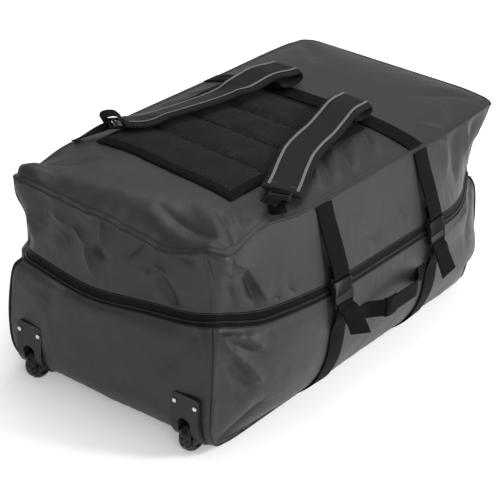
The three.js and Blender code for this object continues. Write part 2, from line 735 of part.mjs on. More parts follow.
function halfLoop(frame, centre, from, to, steps) {
  const stops = range(steps + 1).map((step) => {
    const angle = lerp(from, to, step / steps);
    return frame.world(0, centre + loopRadius * Math.sin(angle), loopRadius * Math.cos(angle));
  });
  const away = Math.sin((from + to) / 2) * -4;
  const runIn = frame.world(0, centre + away, loopRadius * Math.cos(from));
  const runOut = frame.world(0, centre + away, loopRadius * Math.cos(to));
  return [runIn, ...stops, runOut];
}

function upperStrap(frame) {
  const run = [415, 402].map((z) => frame.onWall(z));
  const lean = frame.world(0, -SEWN_FOLD - 6, 0);
  const loop = halfLoop(frame, BUCKLE_BAR_RADIUS, 0, Math.PI, 5);
  const back = frame.world(0, -SEWN_FOLD + 4, -loopRadius);
  const points = [...run, lean, ...loop, back];
  return ribbon(points, points.map(() => frame.across), WEBBING_WIDTH, WEBBING_THICKNESS);
}

function lowerStrap(frame) {
  const bar = BUCKLE_END - BUCKLE_BAR_RADIUS;
  const wallStops = [27, 40, 60, 85, 112, 145, 185].map((z) => frame.onWall(z));
  const behind = frame.world(0, BUCKLE_END + 16, -loopRadius);
  const loop = halfLoop(frame, bar, Math.PI, 2 * Math.PI, 5);
  const tail = [0.16, 0.45, 0.75, 1].map((t) => {
    const lean = Math.max(0, t - 0.16) / 0.84;
    return frame.world(TAIL_LEAN * lean, bar + TAIL_LENGTH * t, loopRadius + 3 + 9 * t);
  });
  const points = [...wallStops, behind, ...loop, ...tail];
  const leanStart = wallStops.length + loop.length + 2;
  const leaning = frame.world(TAIL_LENGTH, -TAIL_LEAN, 0).sub(frame.world(0, 0, 0)).normalize();
  const widths = points.map((_, index) => (index >= leanStart ? leaning : frame.across));
  return ribbon(points, widths, WEBBING_WIDTH, WEBBING_THICKNESS);
}

function buckleBlock(frame, across, along, through) {
  const rings = along.map((s) => {
    const corners = [
      [across[0], through[0]],
      [across[1], through[0]],
      [across[1], through[1]],
      [across[0], through[1]],
    ];
    return corners.map(([a, n]) => frame.world(a, s, n));
  });
  return toSolid(loft(rings));
}

function buckleBar(frame, s) {
  const half = BUCKLE_WIDTH / 2;
  const rings = [-half, half].map((across) => {
    return range(8).map((k) => {
      const angle = (k / 8) * 2 * Math.PI;
      const along = s + BUCKLE_BAR_RADIUS * Math.cos(angle);
      return frame.world(across, along, BUCKLE_BAR_RADIUS * Math.sin(angle));
    });
  });
  return toSolid(loft(rings));
}

function buckleArms(frame, from, to) {
  const half = BUCKLE_WIDTH / 2;
  const inner = WEBBING_WIDTH / 2 + 1.5;
  const through = [-BUCKLE_BAR_RADIUS, BUCKLE_BAR_RADIUS];
  const right = buckleBlock(frame, [-half, -inner], [from, to], through);
  return right.add(buckleBlock(frame, [inner, half], [from, to], through));
}

function buckleSocket(frame) {
  const half = BUCKLE_WIDTH / 2;
  const thick = BUCKLE_THICKNESS / 2;
  const body = buckleBlock(frame, [-half, half], [SOCKET_START, SOCKET_END], [-thick, thick]);
  const pocketWidth = TONGUE_WIDTH / 2 + GAP;
  const pocketThick = TONGUE_THICKNESS / 2 + GAP;
  const pocketStart = SOCKET_END - TONGUE_LENGTH - GAP;
  const pocket = buckleBlock(
    frame,
    [-pocketWidth, pocketWidth],
    [pocketStart, SOCKET_END + 1],
    [-pocketThick, pocketThick],
  );
  const arms = buckleArms(frame, BUCKLE_BAR_RADIUS, SOCKET_START + 1);
  const bars = arms.add(buckleBar(frame, BUCKLE_BAR_RADIUS));
  return toGeometry(body.add(bars).subtract(pocket));
}

function bucklePlug(frame) {
  const half = BUCKLE_WIDTH / 2;
  const thick = BUCKLE_THICKNESS / 2;
  const start = SOCKET_END + GAP;
  const body = buckleBlock(frame, [-half, half], [start, PLUG_END], [-thick * 0.8, thick * 0.8]);
  const tongueWidth = TONGUE_WIDTH / 2;
  const tongueThick = TONGUE_THICKNESS / 2;
  const tongue = buckleBlock(
    frame,
    [-tongueWidth, tongueWidth],
    [SOCKET_END - TONGUE_LENGTH, start + 1],
    [-tongueThick, tongueThick],
  );
  const bar = BUCKLE_END - BUCKLE_BAR_RADIUS;
  const bars = buckleArms(frame, PLUG_END - 1, bar).add(buckleBar(frame, bar));
  return toGeometry(body.add(tongue).add(bars));
}

const SIDES = { right: -1, left: 1 };
for (const [sideName, side] of Object.entries(SIDES)) {
  for (const [endName, x] of Object.entries(STRAP_X)) {
    const frame = buckleFrame(x, side);
    const label = `${sideName}_${endName}`;
    addPiece(`strap_upper_${label}`, upperStrap(frame), "webbing");
    addPiece(`buckle_socket_${label}`, buckleSocket(frame), "plastic");
    addPiece(`buckle_plug_${label}`, bucklePlug(frame), "plastic");
    addPiece(`strap_lower_${label}`, lowerStrap(frame), "webbing");
  }
}

// Shoulder straps, folded back on themselves at the head end
function shoulderRing(point, tangent, upward) {
  const across = tangent.clone().cross(upward).normalize();
  const normal = across.clone().cross(tangent).normalize();
  const half = SHOULDER_WIDTH / 2;
  const thick = SHOULDER_THICKNESS / 2;
  const section = [
    [-half, -thick * 0.5],
    [-half + 9, -thick],
    [half - 9, -thick],
    [half, -thick * 0.5],
    [half, thick * 0.5],
    [half - 9, thick],
    [-half + 9, thick],
    [-half, thick * 0.5],
  ];
  return section.map(([a, n]) => point.clone().addScaledVector(across, a).addScaledVector(normal, n));
}

function shoulderPoints(side) {
  return SHOULDER_ROUTE.map((stop) => {
    return side < 0 ? topPoint(stop.x, -stop.right, stop.rise) : topPoint(stop.leftX, stop.left, stop.rise);
  });
}

function shoulderStrap(side) {
  const points = shoulderPoints(side);
  const rings = points.map((point, index) => {
    const tangent = tangentAt(points, index, false);
    const sideways = topPoint(point.x, point.y + 5).sub(topPoint(point.x, point.y - 5));
    const upward = tangent.clone().cross(sideways).normalize();
    return shoulderRing(point, tangent, upward);
  });
  return loft(rings);
}

for (const [sideName, side] of Object.entries(SIDES)) {
  addPiece(`shoulder_strap_${sideName}`, shoulderStrap(side), "webbing");
}

// Strap adjusters at the shoulder straps' lower ends, with webbing from the side seam
function adjusterFrame(side) {
  const points = shoulderPoints(side);
  const end = points[points.length - 1];
  const along = end.clone().sub(points[points.length - 2]).normalize();
  const across = along.clone().cross(vec(0, 0, 1)).normalize();
  const up = across.clone().cross(along).normalize();
  const place = (s, a, n) => {
    return end.clone().addScaledVector(along, s).addScaledVector(across, a).addScaledVector(up, n);
  };
  return { place, across };
}

function adjusterBlock(frame, s, a, n) {
  const corners = [[a[0], n[0]], [a[1], n[0]], [a[1], n[1]], [a[0], n[1]]];
  return toSolid(loft(s.map((stop) => corners.map(([across, up]) => frame.place(stop, across, up)))));
}

function shoulderAdjuster(frame) {
  const { length, width, thickness, slot } = ADJUSTER;
  const half = width / 2;
  const thick = thickness / 2;
  const opening = NARROW_WEBBING / 2 + 1.5;
  const barWidth = 4;
  const body = adjusterBlock(frame, [GAP, GAP + length], [-half, half], [-thick, thick]);
  const slotEnd = GAP + length - barWidth;
  const through = [-thick - 1, thick + 1];
  const window = adjusterBlock(frame, [slotEnd - slot, slotEnd], [-opening, opening], through);
  return toGeometry(body.subtract(window));
}

function shoulderWebbing(frame, side) {
  const { length, thickness } = ADJUSTER;
  const bar = GAP + length - 2;
  const round = Math.hypot(2, thickness / 2) + GAP + WEBBING_THICKNESS / 2;
  const loop = range(7).map((step) => {
    const angle = lerp(-Math.PI / 2, Math.PI / 2, step / 6);
    return frame.place(bar - round * Math.cos(angle), 0, round * Math.sin(angle));
  });
  const seamX = -292;
  const seamY = side * (seamReach(seamX, side) - 8);
  const anchor = topPoint(seamX, seamY, 5);
  const points = [
    anchor,
    frame.place(bar + 13, 0, -round - 3),
    frame.place(bar + 4, 0, -round),
    ...loop,
    frame.place(bar + 6, 0, round + 1.5),
    frame.place(bar + 22, 4, 12),
    frame.place(bar + 42, 12, 7),
  ];
  const widths = points.map((_, index) => (index === 0 ? vec(side, 0, -0.1) : frame.across));
  return ribbon(points, widths, NARROW_WEBBING, WEBBING_THICKNESS);
}

for (const [sideName, side] of Object.entries(SIDES)) {
  const frame = adjusterFrame(side);
  addPiece(`shoulder_adjuster_${sideName}`, shoulderAdjuster(frame), "plastic");
  addPiece(`shoulder_webbing_${sideName}`, shoulderWebbing(frame, side), "webbing");
}

// Grab handle on the right side
function handlePoint(x, lift) {
  return vec(x, -(wallOut(x, HANDLE.z, -1) + lift), HANDLE.z);
}

function handleStops() {
  const { start, end, seat, stand } = HANDLE;
  return range(13).map((step) => {
    const t = step / 12;
    const rise = THREE.MathUtils.smoothstep(t, 0.08, 0.3) * THREE.MathUtils.smoothstep(1 - t, 0.08, 0.3);
    return handlePoint(lerp(start, end, t), seat + stand * rise);
  });
}

const handleRun = handleStops();
const upright = handleRun.map(() => vec(0, 0, 1));
addPiece("grab_handle_webbing", ribbon(handleRun, upright, HANDLE.width, WEBBING_THICKNESS), "webbing");

function handleSleeve() {
  const wall = 2.2;
  const curve = new THREE.CatmullRomCurve3(handleRun);
  const at = (x) => {
    const t = (x - HANDLE.start) / (HANDLE.end - HANDLE.start);
    return curve.getPoint(t);
  };
  const stops = [HANDLE.sleeveStart, (HANDLE.sleeveStart + HANDLE.sleeveEnd) / 2, HANDLE.sleeveEnd];
  const outerHalf = HANDLE.width / 2 + GAP + wall;
  const innerHalf = HANDLE.width / 2 + GAP;
  const outerDepth = WEBBING_THICKNESS / 2 + 0.8 + wall;
  const innerDepth = WEBBING_THICKNESS / 2 + 0.8;
  const tube = (half, depth, extra) => {
    const rings = stops.map((x, index) => {
      const centre = at(x + extra * (index - 1));
      return [[-depth, -half], [depth, -half], [depth, half], [-depth, half]].map(([out, z]) => {
        return vec(centre.x, centre.y + out, centre.z + z);
      });
    });
    return toSolid(loft(rings));
  };
  return toGeometry(tube(outerHalf, outerDepth, 0).subtract(tube(innerHalf, innerDepth, 2)));
}
addPiece("grab_handle_sleeve", handleSleeve(), "webbing");

// Wheels, axles, corner housings and rivets
function extrudeAcross(shape, from, to) {
  const options = { depth: to - from, bevelEnabled: false, curveSegments: 4 };
  const geometry = new THREE.ExtrudeGeometry(shape, options);
  return geometry.rotateX(Math.PI / 2).translate(0, to, 0);
}

function cylinderAcross(radius, from, to, x, z, sides = 16) {
  const geometry = new THREE.CylinderGeometry(radius, radius, to - from, sides);
  return geometry.translate(x, (from + to) / 2, z);
}

function wheelGeometry(y) {
  const { radius, width, axle, x } = WHEEL;
  const half = width / 2;
  const profile = [
    [axle + GAP, -half],
    [13, -half],
    [14, -half + 3],
    [24, -half + 3],
    [25, -half],
    [radius - 4, -half],
    [radius, -half + 5],
    [radius, half - 5],
    [radius - 4, half],
    [25, half],
    [24, half - 3],
    [14, half - 3],
    [13, half],
    [axle + GAP, half],
    [axle + GAP, -half],
  ];
  const lathe = new THREE.LatheGeometry(profile.map(([r, h]) => new THREE.Vector2(r, h)), 16);
  const solid = toSolid(lathe.translate(x, y, radius));
  const grooves = range(TREADS).map((index) => {
    const angle = ((index + 0.5) / TREADS) * 2 * Math.PI;
    const box = new THREE.BoxGeometry(4, width + 2, 3.4).translate(radius + 0.6, 0, 0);
    return toSolid(box.rotateY(angle).translate(x, y, radius));
  });
  return toGeometry(grooves.reduce((body, groove) => body.subtract(groove), solid));
}

function housingOutline(grow) {
  const half = HOUSING.width / 2 + grow;
  const top = HOUSING.top + grow;
  const corner = HOUSING.corner + grow;
  const shape = new THREE.Shape();
  shape.moveTo(-half, -20);
  shape.lineTo(half, -20);
  shape.lineTo(half, top - corner);
  shape.absarc(half - corner, top - corner, corner, 0, Math.PI / 2, false);
  shape.lineTo(corner - half, top);
  shape.absarc(corner - half, top - corner, corner, Math.PI / 2, Math.PI, false);
  return shape;
}

function outlinePrism(grow, y, from, to) {
  const options = { depth: to - from, bevelEnabled: false, curveSegments: 4 };
  const geometry = new THREE.ExtrudeGeometry(housingOutline(grow), options);
  geometry.applyMatrix4(new THREE.Matrix4().makeBasis(vec(0, 1, 0), vec(0, 0, 1), vec(1, 0, 0)));
  return toSolid(geometry.translate(from, y, 0));
}

function housingGeometry(y) {
  const { width, top, front, inner, running, wall, lug } = HOUSING;
  const half = width / 2;
  const plate = new THREE.Shape();
  plate.moveTo(front, top);
  plate.lineTo(front, 64);
  plate.quadraticCurveTo(front + 4, 28, front + 48, 13);
  plate.lineTo(inner, 8);
  plate.lineTo(inner, 20);
  plate.lineTo(front + 54, 27);
  plate.quadraticCurveTo(front + 20, 40, front + 17, 72);
  plate.lineTo(front + 17, top);
  const shell = extrudeAcross(plate, y - half, y + half);
  const clearRadius = WHEEL.radius + running;
  const clearHalf = WHEEL.width / 2 + 1.2;
  const wellHalf = clearHalf + wall;
  const well = cylinderAcross(clearRadius + wall, y - wellHalf, y + wellHalf, WHEEL.x, WHEEL.radius);
  const wellRoom = new THREE.BoxGeometry(60, 60, 120).translate(front + 10 + 30, y, 20 + 60);
  const clear = cylinderAcross(clearRadius, y - clearHalf, y + clearHalf, WHEEL.x, WHEEL.radius);
  const below = new THREE.BoxGeometry(clearRadius * 2, clearHalf * 2, WHEEL.radius + 20);
  below.translate(WHEEL.x, y, (WHEEL.radius - 20) / 2);
  let solid = toSolid(shell).intersect(outlinePrism(0, y, front - 10, inner + 10));
  solid = solid.add(toSolid(well).intersect(toSolid(wellRoom)));
  solid = solid.subtract(toSolid(clear)).subtract(toSolid(below));
  const ear = new THREE.Shape();
  ear.absarc(WHEEL.x, WHEEL.radius, 11, Math.PI / 2, (3 * Math.PI) / 2, false);
  ear.lineTo(WHEEL.x + 22, WHEEL.radius - 11);
  ear.lineTo(WHEEL.x + 22, WHEEL.radius + 22);
  ear.lineTo(WHEEL.x, WHEEL.radius + 22);
  for (const side of [-1, 1]) {
    const edges = [y + side * clearHalf, y + side * (clearHalf + lug)].sort((a, b) => a - b);
    solid = solid.add(toSolid(extrudeAcross(ear, ...edges)));
  }
  const bore = cylinderAcross(WHEEL.axle + GAP, y - half - 1, y + half + 1, WHEEL.x, WHEEL.radius, 16);
  return toGeometry(solid.subtract(toSolid(bore)));
}

const lowerSolids = Object.entries(lowerPanels).map(([name, geometry]) => [name, toSolid(geometry)]);
let baseSolid = toSolid(basePanel());
for (const [sideName, side] of Object.entries(SIDES)) {
  const y = side * WHEEL.y;
  addPiece(`wheel_${sideName}`, wheelGeometry(y), "rubber");
  const axleHalf = WHEEL.width / 2 + 1.2 + HOUSING.lug;
  const axle = cylinderAcross(WHEEL.axle, y - axleHalf, y + axleHalf, WHEEL.x, WHEEL.radius, 16);
  addPiece(`wheel_axle_${sideName}`, axle, "metal");
  addPiece(`wheel_housing_${sideName}`, housingGeometry(y), "plastic");
  const cutter = outlinePrism(GAP, y, HOUSING.front - 60, HOUSING.inner + GAP);
  for (const entry of lowerSolids) {
    entry[1] = entry[1].subtract(cutter);
  }
  baseSolid = baseSolid.subtract(cutter);
  for (const [rivetName, offset] of Object.entries({ inner: -side, outer: side })) {
    const { radius, height } = RIVET;
    const profile = [[0, 0], [radius, 0], [radius, 0.8], [radius * 0.6, height], [0, height]];
    const points = profile.map(([r, h]) => new THREE.Vector2(r, h));
    const rivet = new THREE.LatheGeometry(points, 8).rotateZ(Math.PI / 2);
    rivet.translate(HOUSING.front - GAP, y + offset * RIVET.spread, RIVET.z);
    addPiece(`rivet_${sideName}_${rivetName}`, rivet, "metal");
  }
}
for (const [name, solid] of lowerSolids) {
  addPiece(`lower_panel_${name}`, toGeometry(solid), "cloth");
}
addPiece("base_panel", toGeometry(baseSolid), "cloth");

// Zip slider, parked at the hidden end of the left side
function zipSlider() {
  const u = 3.8;
  const row = (ZIP_LOW + ZIP_HIGH) / 2;
  const seat = onSeam(u, row, coil.outside + GAP + 2);
  const along = plainWallPoint(u + 0.02, row).sub(plainWallPoint(u - 0.02, row)).normalize();
  const up = seat.normal.clone().cross(along).normalize();
  const basis = new THREE.Matrix4().makeBasis(along, up, seat.normal).setPosition(seat.point);
  const slider = new THREE.BoxGeometry(13, 10, 4).applyMatrix4(basis);
  const pull = new THREE.BoxGeometry(7, 30, 1.8).translate(0, -16, 1.8).applyMatrix4(basis);
  return toGeometry(toSolid(slider).add(toSolid(pull)));
}
addPiece("zip_slider", zipSlider(), "metal");

// The origin goes on the floor under the middle of the whole bag
const whole = new THREE.Box3().setFromObject(bag);
const middle = whole.getCenter(vec(0, 0, 0));
for (const mesh of bag.children) {
  mesh.geometry.translate(-middle.x, -middle.y, -whole.min.z);
}

export default bag;
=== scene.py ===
# %% [markdown]
# # A stuffed wheeled bag for a rolled board
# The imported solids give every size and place. This lesson dresses them: the cloth panels, webbing and
# pads are made again with their folds and weave, and the hard parts get rounded edges and finishes.

# %% The frame
import math

import bpy
import numpy as np
from mathutils import Matrix, Vector, noise


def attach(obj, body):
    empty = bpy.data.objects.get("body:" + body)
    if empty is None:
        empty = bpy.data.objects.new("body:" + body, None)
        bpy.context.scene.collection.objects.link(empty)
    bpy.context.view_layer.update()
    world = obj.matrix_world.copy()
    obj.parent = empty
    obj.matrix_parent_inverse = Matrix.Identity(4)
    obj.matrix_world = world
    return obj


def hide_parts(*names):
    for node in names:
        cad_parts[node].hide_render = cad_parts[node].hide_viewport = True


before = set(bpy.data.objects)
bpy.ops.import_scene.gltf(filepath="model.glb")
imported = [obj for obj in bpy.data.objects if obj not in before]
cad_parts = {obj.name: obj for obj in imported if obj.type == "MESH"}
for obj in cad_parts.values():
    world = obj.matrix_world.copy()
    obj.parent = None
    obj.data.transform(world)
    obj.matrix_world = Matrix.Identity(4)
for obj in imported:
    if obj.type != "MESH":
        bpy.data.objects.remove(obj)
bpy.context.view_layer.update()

# %% [markdown]
# ## The camera
# The camera comes first, because every later piece is seen through it. It stands where the
# picture was taken from, with a long lens, so the bag's far end is only a little smaller than its near end.

# %% Camera
CAMERA_PLACE = (-2.6583, -1.8101, 1.8563)
CAMERA_RIGHT = (0.5914, -0.8039, 0.0632)
CAMERA_UP = (0.3427, 0.3215, 0.8827)
CAMERA_BACK = (-0.7300, -0.5004, 0.4656)
CAMERA_LENS = 129.6

bpy.ops.object.camera_add()
camera = bpy.context.object
axes = Matrix((CAMERA_RIGHT, CAMERA_UP, CAMERA_BACK)).transposed()
camera.matrix_world = Matrix.Translation(CAMERA_PLACE) @ axes.to_4x4()
camera.data.lens = CAMERA_LENS
camera.data.sensor_width = 36
bpy.context.scene.camera = camera
print("camera lens:", CAMERA_LENS)

# %% [markdown]
# ## Units, selection and modifiers
# The bag is drawn in millimetres on its own axes, while a Blender scene is in metres, so one helper makes
# that step. Operators act on all that is selected, so each helper first selects the one piece it works
# on. Solidify gives cloth its thickness and Bevel rounds cut edges. Both are applied at once, because
# the mesh that is seen is then the mesh that is kept.

# %% Units, selection and modifiers
MM = 0.001
SHIFT = np.array((-2.0, -10.96, 0.0))


def placed(points):
    """Millimetres on the bag's own axes to metres in the part's frame."""
    return (np.asarray(points, float) + SHIFT) * MM


def nothing_selected():
    if bpy.context.object and bpy.context.object.mode != "OBJECT":
        bpy.ops.object.mode_set(mode="OBJECT")
    bpy.ops.object.select_all(action="DESELECT")


def only(piece):
    nothing_selected()
    piece.select_set(True)
    bpy.context.view_layer.objects.active = piece


def apply_modifier(piece, kind, **settings):
    only(piece)
    modifier = piece.modifiers.new(kind.lower(), kind)
    for key, value in settings.items():
        setattr(modifier, key, value)
    bpy.ops.object.modifier_apply(modifier=modifier.name)


def thicken(piece, thickness, offset=-1.0):
    apply_modifier(piece, "SOLIDIFY", thickness=thickness * MM, offset=offset, use_even_offset=True)


def round_edges(piece, width, segments=2, angle=35):
    apply_modifier(
        piece,
        "BEVEL",
        width=width * MM,
        segments=segments,
        limit_method="ANGLE",
        angle_limit=math.radians(angle),
    )


def smooth(piece, angle=40):
    only(piece)
    bpy.ops.object.shade_smooth_by_angle(angle=math.radians(angle))


print("the bag's own axes are moved by", SHIFT, "mm")

# %% [markdown]
# ## A grid that becomes cloth
# A sewn panel could be pulled into shape by hand, but its folds would be hard to place. Here every soft
# piece starts as a grid primitive, and a function sends each of its points to a place on the bag. The
# UV map is then scaled to real metres, so that a weave has the same size on every piece.

# %% Cloth grid
def cloth_grid(name, columns, rows, place):
    """A grid primitive whose points go to place(s, t), with s and t from 0 to 1."""
    nothing_selected()
    bpy.ops.mesh.primitive_grid_add(x_subdivisions=columns, y_subdivisions=rows, size=2)
    piece = bpy.context.object
    piece.name = piece.data.name = name
    mesh = piece.data
    flat = np.empty(len(mesh.vertices) * 3)
    mesh.vertices.foreach_get("co", flat)
    s, t = flat.reshape(-1, 3)[:, 0] / 2 + 0.5, flat.reshape(-1, 3)[:, 1] / 2 + 0.5
    points = placed(place(s, t))
    mesh.vertices.foreach_set("co", points.ravel())
    middle = points[np.abs(t - t[np.argmin(np.abs(t - 0.5))]) < 1e-6]
    column = points[np.abs(s - s[np.argmin(np.abs(s - 0.5))]) < 1e-6]
    length = np.linalg.norm(np.diff(middle, axis=0), axis=1).sum()
    height = np.linalg.norm(np.diff(column, axis=0), axis=1).sum()
    corners = np.empty(len(mesh.loops) * 2)
    mesh.uv_layers[0].data.foreach_get("uv", corners)
    mesh.uv_layers[0].data.foreach_set("uv", (corners.reshape(-1, 2) * (length, height)).ravel())
    mesh.update()
    piece["cut"] = (float(length), float(height))
    return piece


print("grids are placed in millimetres and kept in metres, by", MM)

# %% [markdown]
# ## Closing and finishing a piece
# A grid that is wrapped round, as for a cord, has to be joined along its edge and closed at its ends.
# Every finished piece then gets its finish and the body that it rides on, and the solids that it
# replaces are hidden.

# %% Closing and finishing
END_SIDES, MERGE_DISTANCE = 64, 1e-6


def closed_round(piece, fill=True):
    """Joins the first and last columns of a grid that was wrapped round, and closes its ends."""
    only(piece)
    bpy.ops.object.mode_set(mode="EDIT")
    bpy.ops.mesh.select_all(action="SELECT")
    bpy.ops.mesh.remove_doubles(threshold=MERGE_DISTANCE)
    if fill:
        bpy.ops.mesh.select_all(action="SELECT")
        bpy.ops.mesh.fill_holes(sides=END_SIDES)
    bpy.ops.mesh.select_all(action="SELECT")
    bpy.ops.mesh.normals_make_consistent(inside=False)
    bpy.ops.object.mode_set(mode="OBJECT")


def finished(piece, material, slot, *nodes, body="bag"):
    piece.data.materials.clear()
    piece.data.materials.append(material)
    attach(piece, body)
    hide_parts(*nodes)
    print(piece.name, len(piece.data.polygons), "faces")
    return piece


print("ends with up to", END_SIDES, "sides are closed")

# %% [markdown]
# ## Finishes
# Each finish is a Principled shader fed by a few pattern nodes. Cloth, webbing and mesh read the UV
# map, which is in metres, so their threads follow the piece round every bend. Hard parts read Object
# coordinates, because a moulded grain has no direction.

# %% Finish helpers
def node(tree, kind, settings=None, **inputs):
    made = tree.nodes.new("ShaderNode" + kind)
    for key, value in (settings or {}).items():
        setattr(made, key, value)
    for key, value in inputs.items():
        at = int(key[1:]) if key[1:].isdigit() else key.replace("_", " ")
        if isinstance(value, bpy.types.NodeSocket):
            tree.links.new(value, made.inputs[at])
        else:
            made.inputs[at].default_value = value
    return made.outputs


def math_of(tree, operation, first, second=0.0):
    return node(tree, "Math", {"operation": operation}, i0=first, i1=second)[0]


def new_finish(name, roughness, **sockets):
    material = bpy.data.materials.new(name)
    material.use_nodes = True
    tree = material.node_tree
    shader = tree.nodes["Principled BSDF"]
    shader.inputs["Roughness"].default_value = roughness
    for key, value in sockets.items():
        shader.inputs[key.replace("_", " ")].default_value = value
    return material, tree, shader


def two_tone(tree, shader, pattern, dark, light):
    ramp = node(tree, "Mix", {"data_type": "RGBA"}, i0=pattern, i6=(*dark, 1), i7=(*light, 1))
    tree.links.new(ramp[2], shader.inputs["Base Color"])


def relief(tree, shader, height, strength, depth):
    bump = node(tree, "Bump", None, Height=height, Strength=strength, Distance=depth * MM)
    tree.links.new(bump[0], shader.inputs["Normal"])


def added(tree, *parts):
    """Adds up patterns, each times its weight."""
    total = None
    for pattern, weight in parts:
        share = math_of(tree, "MULTIPLY", pattern, weight)
        total = share if total is None else math_of(tree, "ADD", total, share)
    return total


def grey(value):
    """A grey with a slightly cool cast, as dyed black cloth has."""
    return (value, value * 1.005, value * 1.02)


print("a grey of 0.03:", grey(0.03))

# %% [markdown]
# ## Coated twill
# The body is a stiff twill with a thin coat: fine diagonal ribs, a dull shine, and small creases where
# it was folded away. Two wave patterns multiplied together give the weave, noise gives worn patches, and
# ridged noise that shows in patches only gives the sharp little creases. An even bump would look like
# leather. The big folds are not left to the shader: they are geometry, further down.

# %% Coated twill
def twill(name, dark, light, roughness, gloss=0.3):
    material, tree, shader = new_finish(name, roughness, Specular_IOR_Level=gloss, Sheen_Weight=0.02)
    uv = node(tree, "TexCoord")["UV"]
    rib = node(tree, "TexWave", {"bands_direction": "DIAGONAL"}, Vector=uv, Scale=150.0, Distortion=0.6)
    turned = node(tree, "Mapping", None, Vector=uv, Rotation=(0, 0, math.pi / 2))[0]
    cross = node(tree, "TexWave", {"bands_direction": "X"}, Vector=turned, Scale=210.0, Distortion=0.8)
    weave = math_of(tree, "MULTIPLY", rib["Fac"], cross["Fac"])
    wear = node(tree, "TexNoise", None, Vector=uv, Scale=7.0, Detail=4.0)["Fac"]
    grain = node(tree, "TexNoise", None, Vector=uv, Scale=230.0, Detail=2.0)["Fac"]
    two_tone(tree, shader, added(tree, (weave, 0.9), (wear, 0.2), (grain, 0.3)), dark, light)
    patch = node(tree, "TexNoise", None, Vector=uv, Scale=3.4, Detail=1.0)["Fac"]
    creased = node(tree, "MapRange", None, Value=patch, i1=0.4, i2=0.68)[0]
    ridged = {"noise_type": "RIDGED_MULTIFRACTAL"}
    crease = node(tree, "TexNoise", ridged, Vector=uv, Scale=9.0, Detail=2.0, Distortion=0.4)["Fac"]
    dents = node(tree, "TexNoise", None, Vector=uv, Scale=34.0, Detail=3.0, Distortion=0.6)["Fac"]
    in_patches = math_of(tree, "MULTIPLY", crease, creased)
    height = added(tree, (weave, 0.10), (dents, 0.34), (grain, 0.12), (in_patches, 0.9))
    relief(tree, shader, height, 0.6, 3.0)
    return material


cloth = twill("charcoal_twill", grey(0.007), grey(0.035), 0.46)
piping_cloth = twill("piping_twill", grey(0.003), grey(0.011), 0.5)
strap_cloth = twill("black_strap_twill", grey(0.002), grey(0.009), 0.6, 0.12)
print("cloth finishes:", cloth.name, piping_cloth.name, strap_cloth.name)

# %% [markdown]
# ## Woven tapes
# Webbing, zip tape, the straps' grey trim and the rows of stitches are all thread laid in ribs. One
# recipe serves for them: fine ribs across the tape, threads along it, and a little dust. Webbing is
# dull, so its shine is kept low, or it would look like plastic tape under the lamps.

# %% Woven tapes
def ribbed(name, dark, light, ribs, roughness):
    material, tree, shader = new_finish(name, roughness, Specular_IOR_Level=0.07)
    uv = node(tree, "TexCoord")["UV"]
    rib = node(tree, "TexWave", {"bands_direction": "X"}, Vector=uv, Scale=ribs, Distortion=0.3)["Fac"]
    thread = node(tree, "TexWave", {"bands_direction": "Y"}, Vector=uv, Scale=ribs * 0.7, Distortion=0.5)
    weave = math_of(tree, "MULTIPLY", rib, math_of(tree, "ADD", thread["Fac"], 0.4))
    dust = node(tree, "TexNoise", None, Vector=uv, Scale=24.0, Detail=3.0)["Fac"]
    shade = math_of(tree, "MULTIPLY", math_of(tree, "ADD", weave, dust), 0.5)
    two_tone(tree, shader, shade, dark, light)
    relief(tree, shader, weave, 0.5, 0.5)
    return material


webbing_black = ribbed("black_webbing", grey(0.001), grey(0.006), 110.0, 0.75)
zip_black = ribbed("zip_tape", grey(0.001), grey(0.007), 200.0, 0.6)
trim_grey = ribbed("grey_trim", grey(0.08), grey(0.20), 150.0, 0.55)
stitch_grey = ribbed("grey_stitches", grey(0.03), grey(0.07), 120.0, 0.6)
print("woven finishes:", webbing_black.name, zip_black.name, trim_grey.name, stitch_grey.name)

# %% [markdown]
# ## Spacer mesh
# A back pad that should breathe is covered with a knitted mesh: a regular net over dark holes. The cells
# of a Voronoi pattern with hardly any randomness make such a net. The middle of a cell is the hole, its
# border is the yarn, and a bump raises the yarn. Modelled holes would cost far too many faces.

# %% Spacer mesh
def spacer_mesh(name, dark, light, size):
    material, tree, shader = new_finish(name, 0.85, Specular_IOR_Level=0.07, Sheen_Weight=0.01)
    uv = node(tree, "TexCoord")["UV"]
    cell = node(tree, "TexVoronoi", {"feature": "F1"}, Vector=uv, Scale=1 / (size * MM), Randomness=0.1)
    yarn = node(tree, "MapRange", None, Value=cell["Distance"], i1=0.2, i2=0.62)[0]
    dust = node(tree, "TexNoise", None, Vector=uv, Scale=18.0, Detail=3.0)["Fac"]
    shade = math_of(tree, "MULTIPLY", yarn, math_of(tree, "ADD", dust, 0.4))
    two_tone(tree, shader, shade, dark, light)
    relief(tree, shader, yarn, 0.8, 1.2)
    return material


pad_mesh = spacer_mesh("black_spacer_mesh", grey(0.001), grey(0.031), 4.6)
pad_edge = spacer_mesh("black_edge_mesh", grey(0.001), grey(0.012), 3.0)
print("mesh finishes:", pad_mesh.name, pad_edge.name)

# %% [markdown]
# ## Plastic, rubber and metal
# Buckles are shiny moulded plastic, the housings a duller one, the tyres rubber and the rivets plain metal.
# All get a fine speck and a slow cloud of tone and shine, since a perfectly even surface looks unreal.

# %% Plastic, rubber and metal
CLOUD_SIZE, SHINE_RANGE = 0.05, (-0.08, 0.1)


